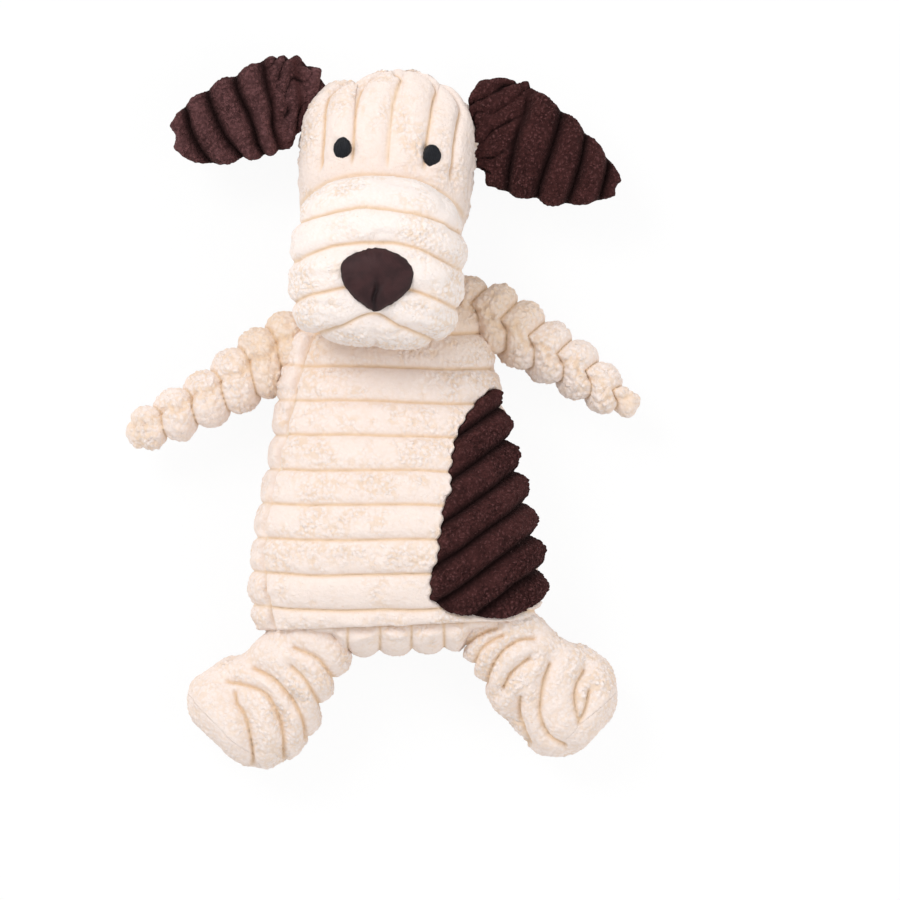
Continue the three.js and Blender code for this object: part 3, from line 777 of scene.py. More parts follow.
def stitching(slot: Slot, light: Colour, dark: Colour, roughness: float) -> Smooth:
    """Twisted thread: plies that show as a fine ripple, with a soft gloss.

    Args:
        slot: Which finish it is.
        light: The plies' light colour.
        dark: Their dark colour.
        roughness: How matt it is.

    Returns:
        The finish.
    """
    settings = {"Roughness": roughness, "Sheen_Weight": 0.01, "Specular_IOR_Level": 0.22}
    return Smooth(slot.value, light, dark, (0.35,), (0.3, 0.7), (((0.2,), 0.05),), settings, creased=True)


class Wardrobe:
    """Every finish of the toy, made once."""

    def __init__(self) -> None:
        """Makes the materials from the finishes' colours."""
        finishes = (
            # The plush tip colours are painted highlights; the groove colours are the backing with painted
            # shade.
            Plush(Slot.CREAM.value, (0.885, 0.77, 0.71), (0.835, 0.705, 0.635), (0.78, 0.565, 0.37),
                  (0.93, 0.86, 0.83), (1.0, 0.95, 0.92), 0.10, (0.70, 0.42, 0.22), 0.5, 1.15, 0.16),
            Plush(Slot.BROWN.value, (0.074, 0.025, 0.024), (0.042, 0.014, 0.013), (0.0065, 0.0024, 0.0024),
                  (0.155, 0.068, 0.07), (0.8, 0.42, 0.4), 0.05, (0.2, 0.11, 0.105), 0.6, 0.9, 0.5),
            Smooth(Slot.SATIN.value, (0.044, 0.017, 0.018), (0.013, 0.006, 0.007), (3.2,), (0.3, 0.7),
                   (((1.4,), 0.12),),
                   {"Roughness": 0.55, "Sheen_Weight": 0.03, "Sheen_Roughness": 0.4,
                    "Sheen_Tint": (0.8, 0.45, 0.45), "Specular_IOR_Level": 0.18},
                   share=0.5, creased=True, weave=(1.1, 0.03)),
            stitching(Slot.EYE, (0.008, 0.009, 0.015), (0.002, 0.003, 0.005), 0.45),
            stitching(Slot.THREAD, (0.84, 0.74, 0.62), (0.70, 0.58, 0.44), 0.75),
            Smooth(Slot.STUFFING.value, (0.93, 0.93, 0.91), (0.80, 0.80, 0.78), (1.6, 4.0, 0.6), (0.3, 0.7),
                   (((1.1, 4.0, 0.7), 0.5), ((0.3,), 0.15)),
                   {"Roughness": 0.95, "Sheen_Weight": 0.4, "Sheen_Roughness": 0.5,
                    "Specular_IOR_Level": 0.1}),
            Smooth(Slot.PLASTIC.value, (0.86, 0.86, 0.82), (0.78, 0.78, 0.73), (5.0,), (0.35, 0.65),
                   (((0.5,), 0.03),),
                   {"Roughness": 0.38, "Specular_IOR_Level": 0.45, "Subsurface_Weight": 0.15,
                    "Subsurface_Radius": (METRE, METRE, METRE)}),
        )
        self.materials = {finish.name: finish.material() for finish in finishes}

    def dress(self, piece: bpy.types.Object, slot: Slot, body: str, node: str,
              fill: float | None = None) -> None:
        """Gives a finished piece its material and its body, and hides the solid that it replaces.

        Args:
            piece: The piece.
            slot: Its finish.
            body: The body that it moves with.
            node: The solid that it replaces.
            fill: Not used; meant as how tightly it is stuffed, or None where it isn't padded.
        """
        piece.data.materials.clear()
        piece.data.materials.append(self.materials[slot.value])
        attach(piece, body)
        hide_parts(node)
        LOG.info("%s: %d faces on %s", piece.name, len(piece.data.polygons), body)


# Stuffed forms and their cloth


@dataclass(frozen=True)
class Lump:
    """A stuffed form: superellipse sections along its own +Y, closed at both ends.

    A section's half side is its table's value times a closing that falls from 1 in the middle to 0 at
    an end, as (1 - |2t - 1|^p)^(1/p) with the end's power p.
    """

    length: float
    half_width: Curve
    half_depth: Curve
    centre_z: Curve
    drift: Curve = steady(0)
    start: float = 0.0
    width_powers: tuple[float, float] = (3, 3)
    depth_powers: tuple[float, float] = (3, 3)
    square: float = 2.3

    @staticmethod
    def closing(t: Array, powers: tuple[float, float]) -> Array:
        """How far the ends have closed at t."""
        power = np.where(t < 0.5, *powers)
        return np.maximum(1 - np.abs(2 * t - 1) ** power, 0) ** (1 / power)

    def points(self, t: Array, angle: Array, inset: float = 0.0) -> Array:
        """Places on the form.

        Args:
            t: Share along, from 0 to 1.
            angle: Angle round, in radians, 0 at own +X and a quarter turn at own +Z.
            inset: How far inside the surface.

        Returns:
            The places in the form's own frame.
        """
        t, angle = np.broadcast_arrays(t, angle)
        power = 2 / self.square
        wide = (self.half_width(t) - inset) * self.closing(t, self.width_powers)
        deep = (self.half_depth(t) - inset) * self.closing(t, self.depth_powers)
        return np.stack([
            self.drift(t) + wide * signed_power(np.cos(angle), power),
            self.start + inset + t * (self.length - 2 * inset),
            self.centre_z(t) + deep * signed_power(np.sin(angle), power),
        ], axis=-1)

    def even(self, first: float, last: float, spacing: float) -> Array:
        """Shares along that lie evenly on the form's outline.

        Args:
            first: The first share.
            last: The last share.
            spacing: The step in millimetres.

        Returns:
            The shares, by inverting the summed length of a dense outline.
        """
        dense = (1 - np.cos(np.linspace(0, math.pi, 4001))) / 2
        dense = first + (last - first) * dense
        outline = self.points(dense, np.array(0.8))
        reach = np.concatenate([[0], np.cumsum(np.linalg.norm(np.diff(outline, axis=0), axis=1))])
        count = max(int(reach[-1] / spacing), 4)
        return np.interp(np.linspace(0, reach[-1], count), reach, dense)


@dataclass(frozen=True)
class Grooves:
    """The grooves that a piece shows, each a line of places across it and along it, in order along it."""

    lines: Sequence[Pairs]
    reach: float = 6.0
    least: float = 2.0

    def level(self, line: Pairs, across: Array) -> Array:
        """A groove's place along, read linearly between its points and carried on past its ends.

        Args:
            line: The groove's points.
            across: Places across.

        Returns:
            Places along.
        """
        x, y = (np.array(column, float) for column in zip(*line))
        first = (y[1] - y[0]) / (x[1] - x[0])
        last = (y[-1] - y[-2]) / (x[-1] - x[-2])
        x = np.concatenate([[x[0] - self.reach], x, [x[-1] + self.reach]])
        y = np.concatenate([[y[0] - self.reach * first / 2], y, [y[-1] + self.reach * last / 2]])
        smooth = [np.interp(across + step, x, y) for step in (-1.5, -0.75, 0.0, 0.75, 1.5)]
        return sum(smooth) / len(smooth)

    def count(self, across: Array, along: Array) -> Array:
        """How many wales lie before each place: whole at a groove, in even parts between two.

        Args:
            across: Places across.
            along: Places along.

        Returns:
            The count, carried on before the first groove and past the last at their own spacing.
        """
        levels = [self.level(line, across) for line in self.lines]
        gaps = [np.maximum(high - low, self.least) for low, high in zip(levels, levels[1:])]
        total = np.minimum((along - levels[0]) / gaps[0], 0)
        for low, gap in zip(levels, gaps):
            total = total + np.clip((along - low) / gap, 0, 1)
        return total + np.maximum((along - levels[-2] - gaps[-1]) / gaps[-1], 0)


@dataclass(frozen=True)
class Corduroy:
    """How the cloth's pile stands: round wales with narrow grooves, curled nubs and combed smooth places.

    Attributes:
        height: The wales' height.
        crest_power: How square a wale's section is.
        rise_power: How steeply it rises from the groove.
        groove_from: The place from crest to groove at which the groove's tint, backing and painted shade,
            starts.
        wander: How far the grooves wander, in wales.
        wander_size: Over what length they wander.
        nub: The spacing of the nubs of pile.
        nub_height: Their height.
        nub_floor: How much nap the combed places keep.
        patch_size: The spacing of the combed places.
        patch_fine: The spacing of their finer layer.
        lump: The spacing of the stuffing's lumps.
        lump_height: Their height.
        seam_width: How far a seam's sinking reaches.
        seam_depth: How deep it sinks.
        seam_tint: How far the painted shade at a seam reaches.
        pucker: The puckers' height.
        pucker_pitch: Their spacing along the seam.
        pucker_reach: How far they run from the seam.
        fuzz: The finest pile's height.
        fuzz_size: Its spacing.
        brush: How much painted light, in the tip colour, a wale's crest takes.
    """

    height: float = 1.9
    crest_power: float = 2.7
    rise_power: float = 0.7
    groove_from: float = 0.84
    wander: float = 0.03
    wander_size: float = 9.0
    nub: float = 1.1
    nub_height: float = 0.5
    nub_floor: float = 0.12
    patch_size: float = 9.0
    patch_fine: float = 2.6
    lump: float = 4.5
    lump_height: float = 0.35
    seam_width: float = 1.1
    seam_depth: float = 0.8
    seam_tint: float = 0.9
    pucker: float = 0.4
    pucker_pitch: float = 6.0
    pucker_reach: float = 5.0
    fuzz: float = 0.16
    fuzz_size: float = 0.42
    brush: float = 0.0

    def dress(self, grid: Grid, wales: Array, seam: Array, seed: int, extra: Array | float = 0.0,
              keep: Array | float = 1.0) -> Grid:
        """Raises a grid's surface into wales and pile.

        With f the distance from a wale's crest, 0 there and 1 in the groove, the wale stands
        (1 - f^crest)^rise high. Nubs, lumps and fuzz are added, all is pressed flat at the seams, and
        the seams sink and pucker.

        Args:
            grid: The smooth surface.
            wales: How many wales lie before each point, whole in a groove.
            seam: The distance to the nearest seam at each point.
            seed: Which scatter of nubs.
            extra: Height to add.
            keep: Share of the wales' height that is kept.

        Returns:
            The raised grid, with its groove value of backing and painted shade, its tuft value nap, and its
            brush value of painted light.
        """
        points = grid.points
        wales = wales + self.wander * soft_noise(points, self.wander_size, seed)
        from_crest = np.clip(np.abs(2 * (wales - np.floor(wales)) - 1), 0, 1)
        wale = (1 - from_crest**self.crest_power) ** self.rise_power
        curls = smooth_step(0.22, 0.8, tufts(points, self.nub, seed + 1))
        patches = soft_noise(points, self.patch_size, seed + 2)
        patches = patches + 0.7 * soft_noise(points, self.patch_fine, seed + 4)
        combed = smooth_step(-0.6, 0.8, patches)
        nap = (self.nub_floor + (1 - self.nub_floor) * combed) * (1 - 0.8 * from_crest**5)
        lumps = soft_noise(points, self.lump, seed + 3)
        grain = soft_noise(points, self.fuzz_size, seed + 5)
        free = 1 - np.exp(-(seam / self.seam_width) ** 2)
        ripple = np.sin(FULL_TURN * points[..., 1] / self.pucker_pitch + 3 * lumps)
        pucker = self.pucker * ripple * np.exp(-seam / self.pucker_reach)
        height = free * (self.height * wale * keep + self.nub_height * nap * (curls - 0.6)
                         + self.lump_height * lumps + pucker)
        height = height + self.fuzz * grain * (0.3 + 0.7 * nap) - self.seam_depth * (1 - free) + extra
        # The groove's tint is the backing's colour with painted shade, plus painted shade along the sunk
        # seams.
        tint = smooth_step(self.groove_from, 1.0, from_crest) * keep
        tint = np.clip(tint + 0.5 * (1 - smooth_step(0.0, self.seam_tint, seam)), 0, 1)
        raised = grid.points + grid.normals() * height[..., None]
        # The brush value is painted light on the wales' crests.
        values = {"groove": tint, "nap": nap, "brush": self.brush * wale}
        return Grid(raised, grid.around, grid.inside, values)


def seam_angles(lump: Lump, frame: Frame, t: Array, point: Array, normal: Array,
                far: float) -> Array:
    """The angle round each section at which the surface crosses a seam's plane, by halving.

    Args:
        lump: The form.
        frame: Its frame.
        t: Shares along.
        point: A point of the plane.
        normal: The plane's normal, on the side of the section's top.
        far: The angle at the section's underside to search to.

    Returns:
        One angle a share.
    """
    low = np.full(t.shape, math.pi / 2)
    high = np.full(t.shape, far)
    for _ in range(30):
        middle = (low + high) / 2
        above = (frame.out(lump.points(t, middle)) - point) @ normal > 0
        low = np.where(above, middle, low)
        high = np.where(above, high, middle)
    return low


def strip(first: Array, last: Array, count: int) -> Array:
    """Angles in even steps from one array to another.

    Args:
        first: Where each row starts.
        last: Where it ends.
        count: How many columns.

    Returns:
        Rows by columns of angles.
    """
    share = np.linspace(0, 1, count)
    return first[:, None] + (last - first)[:, None] * share


def all_round(t: Array, sides: int) -> Array:
    """Angles of a full turn in even steps, the same for each share along."""
    return strip(np.zeros(len(t)), np.full(len(t), FULL_TURN), sides + 1)[:, :-1]


def smooth_path(points: Array, count: int) -> Array:
    """A smooth path through points: each coordinate is a cubic curve of the place in the list.

    Args:
        points: The points.
        count: How many points the path has.

    Returns:
        The path's points.
    """
    places = np.linspace(0, 1, len(points))
    t = np.linspace(0, 1, count)
    return np.stack([curve(list(zip(places, points[:, k])))(t) for k in range(points.shape[1])], axis=-1)


def strand(path: Array, radius: float, plies: float = 0.0, pitch: float = 2.0, sides: int = 10) -> Array:
    """A round strand along a path: circles square to the path, rippled by the twist of its plies.

    Args:
        path: Points along the strand.
        radius: Its radius.
        plies: The ripple's height.
        pitch: The length of a twist.
        sides: Points round a circle.

    Returns:
        Rows by columns of points.
    """
    along = np.gradient(path, axis=0)
    along = along / np.linalg.norm(along, axis=1, keepdims=True)
    aslant = np.array([0.13, 0.21, 0.97])
    side = np.cross(along, aslant)
    side = side / np.linalg.norm(side, axis=1, keepdims=True)
    other = np.cross(along, side)
    step = np.linalg.norm(np.diff(path, axis=0), axis=1)
    reach = np.concatenate([[0], np.cumsum(step)])
    angle = np.linspace(0, FULL_TURN, sides, endpoint=False)
    ripple = radius + plies * np.abs(np.sin(angle[None] + math.pi * reach[:, None] / pitch))
    ring = (np.cos(angle)[None, :, None] * side[:, None] + np.sin(angle)[None, :, None] * other[:, None])
    return path[:, None] + ripple[..., None] * ring


# The torso


class Stuffed:
    """What the torso and the head share: a form that lies on the table."""

    length: float
    width: float
    depth: float
    floor_cut: float
    width_shares: Pairs
    depth_shares: Pairs

    def shape(self, ends: tuple[Pairs, Pairs], square: float, start: float = 0.0) -> Lump:
        """The form from the sizes' shares, flat on the table.

        Args:
            ends: The powers with which its width and its depth close at both ends.
            square: How square its sections are.
            start: Where it starts along own Y.

        Returns:
            The form.
        """
        wide, deep = curve(self.width_shares), curve(self.depth_shares)
        return Lump(
            self.length,
            lambda t: wide(t) * self.width / 2,
            lambda t: deep(t) * self.depth / 2,
            lambda t: deep(t) * self.depth / 2 - self.floor_cut,
            start=start, width_powers=ends[0], depth_powers=ends[1], square=square,
        )


@dataclass
class Torso(Stuffed):
    """The stuffed body: its four panels, its filling, the squeaker and the closing seam."""

    length: float = 99.0
    width: float = 80.0
    depth: float = 44.0
    base_x: float = 4.008
    base_y: float = -64.294
    lean: float = 2.3
    floor_cut: float = 0.5
    width_shares: Pairs = ((0, 1), (0.17, 1), (0.34, 0.94), (0.53, 0.84), (0.69, 0.78), (0.85, 0.75),
                           (1, 0.73))
    depth_shares: Pairs = ((0, 0.9), (0.17, 0.98), (0.34, 1), (0.53, 0.91), (0.69, 0.81), (0.85, 0.74),
                           (1, 0.7))
    side_seam_share: float = 0.53
    side_seam_tilt: float = 11.0
    side_seam_run: float = 3.5
    seam_low: float = 0.16
    seam_high: float = 0.97
    gusset_height: float = 6.0
    groove_y: float = 12.2
    pitch: float = 9.157
    gusset_pitch: float = 8.5
    gusset_groove: float = 7.6
    patch_wale_turn: float = 31.0
    patch_groove: float = 2.6
    patch_pitch: float = 8.6
    skin_inset: float = 2.0
    spacing: float = 0.34
    back_spacing: float = 0.46
    columns: int = 330
    base_columns: int = 520
    patch_points: tuple[int, int] = (470, 240)
    base_pole: float = 1e-9
    neck_share: float = 0.9995
    tuck: float = 4.5
    base_tuck: float = 3.5
    patch_tuck: float = 2.6
    patch_bed: float = 3.2
    patch_lap: float = 2.0
    patch_bend: float = 1.2
    # Where painted shade lies at the shoulders and below the muzzle.
    shoulder_x: tuple[float, float] = (25.0, 33.0)
    shoulder_y: tuple[float, float] = (56.0, 66.0)
    throat_y: tuple[float, float] = (72.0, 90.0)
    left_leg_x: tuple[float, float] = (-15.0, -9.0)
    right_leg_x: tuple[float, float] = (19.0, 25.0)
    gusset_sunk: float = 2.2
    wadding_inset: float = 4.6
    wadding_gap: float = 0.3
    wadding_lump: float = 6.0
    wadding_tuft: float = 3.0
    closing_shares: tuple[float, float] = (0.3, 0.66)
    closing_stitches: int = 13
    closing_step: float = 0.8
    closing_inset: float = 2.6
    thread_radius: float = 0.32
    cloth: Corduroy = Corduroy(seam_depth=0.5)
    back_cloth: Corduroy = Corduroy(seam_depth=0.5, pucker=0.7)
    base_cloth: Corduroy = Corduroy(crest_power=2.0)
    patch_cloth: Corduroy = Corduroy(
        height=3.1, crest_power=1.9, rise_power=0.85, groove_from=0.45, nub=1.15, nub_height=0.75,
        nub_floor=0.55, seam_width=1.0, seam_depth=0.2, fuzz=0.25)
    patch_left: Pairs = (
        (0.06, 0.30), (0.09, 0.25), (0.127, 0.215), (0.16, 0.225), (0.213, 0.235), (0.263, 0.285),
        (0.317, 0.305), (0.394, 0.345), (0.436, 0.395), (0.49, 0.40), (0.567, 0.44), (0.621, 0.50),
        (0.665, 0.585), (0.70, 0.66), (0.74, 0.72),
    )
    patch_bottom: Pairs = ((0, 0.132), (0.1, 0.093), (0.25, 0.075), (0.5, 0.076), (0.75, 0.098), (1, 0.118))
    patch_top: Pairs = ((0, 0.69), (0.3, 0.718), (0.6, 0.712), (1, 0.66))

    def __post_init__(self) -> None:
        """Sets the frame, the form and the seam's plane."""
        self.frame = Frame.turned(self.base_x, self.base_y, 0, self.lean)
        self.lump = self.shape(((7, 4), (4, 3)), 2.4)
        tilt = math.radians(self.side_seam_tilt)
        run = math.radians(self.side_seam_run)
        normal = np.array([math.tan(tilt), math.tan(run), 1.0])
        self.seam_normal = normal / np.linalg.norm(normal)
        self.seam_point = self.frame.out(np.array([0, self.length / 2, self.depth * self.side_seam_share]))
        self.middle = self.frame.out(np.array([0, self.length / 2, self.depth / 2]))
        self.gusset_share = self.gusset_height / self.length

    def crossing(self, t: Array, side: Side) -> Array:
        """The side seam's angle at each share along.

        Args:
            t: Shares along.
            side: Which side's seam.

        Returns:
            One angle a share.
        """
        far = 1.4 * math.pi if side is Side.LEFT else -0.4 * math.pi
        kept = np.clip(t, self.seam_low, self.seam_high)
        return seam_angles(self.lump, self.frame, kept, self.seam_point, self.seam_normal, far)

    def laid(self, t: Array, angle: Array) -> Grid:
        """The smooth surface at given shares and angles.

        Args:
            t: Shares along.
            angle: Angles round.

        Returns:
            The grid, lifted off the table.
        """
        grid = Grid(self.frame.out(self.lump.points(t[:, None], angle, self.skin_inset)), False, self.middle)
        grid.lift(0.1)
        return grid

    def patch_grid(self, rows: int, columns: int) -> tuple[Array, Array]:
        """The patch's shares and angles: columns from its left edge round to the side seam on the right.

        Args:
            rows: Rows from its bottom edge to its top.
            columns: Columns across.

        Returns:
            Shares along and angles round, each rows by columns.
        """
        across = np.linspace(0, 1, columns)[None]
        along = np.linspace(0, 1, rows)[:, None]
        bottom, top = curve(self.patch_bottom)(across), curve(self.patch_top)(across)
        t = bottom + (top - bottom) * along
        wide = self.lump.half_width(t) * self.lump.closing(t, self.lump.width_powers)
        left = curve(self.patch_left)(t) * self.width / 2 + 0.35 * np.sin(FULL_TURN * t * 26)
        start = np.arccos(np.clip(left / wide, 0, 1) ** (self.lump.square / 2))
        steps = np.linspace(0.05, 0.8, 200)
        end = np.interp(t, steps, self.crossing(steps, Side.RIGHT)) + 0.03
        return t, start + (end - start) * across

    def patch_cover(self, t: Array, angle: Array) -> Array:
        """How deep under the patch each place lies.

        Args:
            t: Shares along.
            angle: Angles round.

        Returns:
            Millimetres of the cloth from the patch's nearest edge, below zero outside.
        """
        samples = 160
        columns = np.linspace(0, 1, samples)
        rows, angles = self.patch_grid(samples, samples)
        left = np.interp(t, rows[:, 0], angles[:, 0])
        right = np.interp(t, rows[:, -1], angles[:, -1])
        share = np.clip((angle - left) / np.minimum(right - left, -0.01), -1, 1)
        round_scale = self.width * 0.36
        low = (t - np.interp(share, columns, rows[0])) * self.length
        high = (np.interp(share, columns, rows[-1]) - t) * self.length
        return np.minimum(np.minimum(low, high), (left - angle) * round_scale)

    def belly_wales(self, points: Array) -> Array:
        """Counts the wales across the belly: level, bent up a little at the left side.

        Args:
            points: Places in the toy's frame.

        Returns:
            How many wales lie before each place.
        """
        own = self.frame.own(points)
        share = np.clip(-own[..., 0] / (self.width / 2), 0, 1)
        bend = 1.6 * share**3 + 0.35 * np.sin(own[..., 0] / 11 + own[..., 1] / 23)
        return (points[..., 1] - self.groove_y - bend) / self.pitch

    def front(self) -> Grid:
        """The front panel: wales across the belly, sunk where the patch lies on it, with painted shade at the
        throat and the shoulders.
        """
        t = self.lump.even(self.gusset_share, self.neck_share, self.spacing)
        angle = strip(self.crossing(t, Side.RIGHT), self.crossing(t, Side.LEFT), self.columns)
        grid = self.laid(t, angle)
        cover = self.patch_cover(t[:, None] + 0 * angle, angle)
        covered = smooth_step(self.patch_lap / 10, self.patch_lap, cover)
        seam = grid.seam_distance(FIRST, BOTH)
        dressed = self.cloth.dress(grid, self.belly_wales(grid.points), seam, Seed.BELLY,
                                   -self.patch_bed * covered, 1 - covered)
        x, y, _ = np.moveaxis(self.frame.own(grid.points), -1, 0)
        shoulder = smooth_step(*self.shoulder_x, np.abs(x)) * smooth_step(*self.shoulder_y, y)
        # Painted shade below the muzzle and next to the arms.
        dressed.darken(0.42 * smooth_step(*self.throat_y, y) + 0.3 * shoulder)
        return dressed.tucked(self.tuck, FIRST, BOTH)

    def back(self) -> Grid:
        """The back panel: the same wales round the back, drawn up in puckers at the side seam."""
        t = self.lump.even(self.gusset_share, self.neck_share, self.back_spacing)
        right = self.crossing(t, Side.RIGHT) + FULL_TURN
        grid = self.laid(t, strip(self.crossing(t, Side.LEFT), right, self.columns))
        seam = grid.seam_distance(FIRST, BOTH)
        flat = smooth_step(0.3, 3.0, grid.points[..., 2])
        wales = self.belly_wales(grid.points)
        dressed = self.back_cloth.dress(grid, wales, seam, Seed.BODY_BACK, 0.0, 0.2 + 0.6 * flat)
        dressed.lift()
        return dressed.tucked(self.tuck, FIRST, BOTH)

    def gusset(self) -> Grid:
        """The base: wales that run from front to back, so that its edge is scalloped between the legs."""
        t = self.lump.even(self.base_pole, self.gusset_share, self.spacing)
        grid = replace(self.laid(t, all_round(t, self.base_columns)), around=True)
        x = grid.points[..., 0]
        seam = grid.seam_distance(LAST, NEITHER)
        between = smooth_step(*self.left_leg_x, x) * (1 - smooth_step(*self.right_leg_x, x))
        sunk = -self.gusset_sunk * (1 - between) * smooth_step(0.5, 5.0, seam)
        wales = (x - self.gusset_groove) / self.gusset_pitch
        dressed = self.base_cloth.dress(grid, wales, seam, Seed.BASE, sunk, between)
        dressed.lift()
        return dressed.tucked(self.base_tuck, LAST, NEITHER)

    def patch(self) -> Grid:
        """The brown patch: thick slanting wales that run off its edges and round to the side seam."""
        t, angle = self.patch_grid(*self.patch_points)
        points = self.frame.out(self.lump.points(t, angle, self.skin_inset))
        grid = Grid(points, False, self.middle)
        turn = math.radians(self.patch_wale_turn)
        across = -points[..., 0] * math.sin(turn) + points[..., 1] * math.cos(turn) - self.patch_groove
        across = across + self.patch_bend * np.sin(points[..., 0] / 9)
        seam = grid.seam_distance(BOTH, BOTH)
        edge = -0.5 * np.exp(-(seam / 2.0) ** 2)
        dressed = self.patch_cloth.dress(grid, across / self.patch_pitch, seam, Seed.PATCH, edge)
        return dressed.tucked(self.patch_tuck, BOTH, BOTH)

    def filling(self, upper: bool, middle_z: float, recess: Callable[[Array], Array]) -> Array:
        """Half of the filling: the form's inner surface closed by a level face with the squeaker's hollow.

        Args:
            upper: Whether it is the half nearer the front.
            middle_z: The height of the level face.
            recess: The hollow's depth at each place of the level face.

        Returns:
            Rows by columns of points, closed round.
        """
        t = self.lump.even(0.0002, 0.9998, 1.3)
        sign = 1 if upper else -1
        angle = sign * np.linspace(0.0, math.pi, 90)
        skin = self.frame.out(self.lump.points(t[:, None], angle[None], self.wadding_inset))
        height = np.maximum(sign * (skin[..., 2] - middle_z), self.wadding_gap)
        skin[..., 2] = middle_z + sign * height
        lumps = 0.8 * soft_noise(skin, self.wadding_lump, Seed.BODY_LUMPS)
        noise = lumps + 0.9 * tufts(skin, self.wadding_tuft, Seed.BODY_TUFTS)
        skin[..., 2] -= sign * np.minimum(noise + 0.6, height * 0.4)
        share = np.linspace(0, 1, 60)[1:-1]
        level = skin[:, -1:] + (skin[:, :1] - skin[:, -1:]) * share[None, :, None]
        level[..., 2] = middle_z + sign * (self.wadding_gap + recess(level))
        return np.concatenate([skin, level], axis=1)

    def build(self, wardrobe: Wardrobe) -> None:
        """Makes and dresses the torso's pieces.

        Args:
            wardrobe: The finishes.
        """
        for name, grid, slot, node in (
            ("belly_panel", self.front(), Slot.CREAM, "body_front_panel"),
            ("flank_patch_cloth", self.patch(), Slot.BROWN, "flank_patch"),
            ("back_panel_cloth", self.back(), Slot.CREAM, "body_back_panel"),
            ("base_panel_cloth", self.gusset(), Slot.CREAM, "body_base_gusset"),
        ):
            piece = grid.mesh(name, (grid.around, False))
            wardrobe.dress(piece, slot, "torso", node, 0.8)
            if name in ("belly_panel", "flank_patch_cloth"):
                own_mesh(piece)
        squeaker = Squeaker(self)
        squeaker.build(wardrobe)
        self.build_filling(wardrobe, squeaker)
        self.build_closing(wardrobe)

    def build_filling(self, wardrobe: Wardrobe, squeaker: Squeaker) -> None:
        """Makes the two halves of the filling round the squeaker.

        Args:
            wardrobe: The finishes.
            squeaker: What they are hollowed for.
        """
        for upper, word in ((True, "front"), (False, "back")):
            points = self.filling(upper, squeaker.middle[2], squeaker.room)
            piece = Grid(points, True, points.mean(axis=(0, 1))).mesh(f"wadding_{word}", BOTH)
            wardrobe.dress(piece, Slot.STUFFING, "torso", f"body_stuffing_{word}", 0.9)
            if upper:
                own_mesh(piece)

    def build_closing(self, wardrobe: Wardrobe) -> None:
        """Makes the thread that closes the side seam: a zigzag from side to side of it.

        Args:
            wardrobe: The finishes.
        """
        t = np.linspace(*self.closing_shares, self.closing_stitches)
        points = self.frame.out(self.lump.points(t, self.crossing(t, Side.LEFT), self.closing_inset))
        aside = np.where(np.arange(len(t)) % 2, self.closing_step, -self.closing_step)
        step = aside[:, None] * self.seam_normal
        tube = strand(smooth_path(points + step, 260), self.thread_radius, 0.09, 1.2)
        piece = join_parts("closing_thread", [(tube, points.mean(axis=0))], {"groove": 0.0})
        wardrobe.dress(piece, Slot.THREAD, "torso", "closing_stitches")


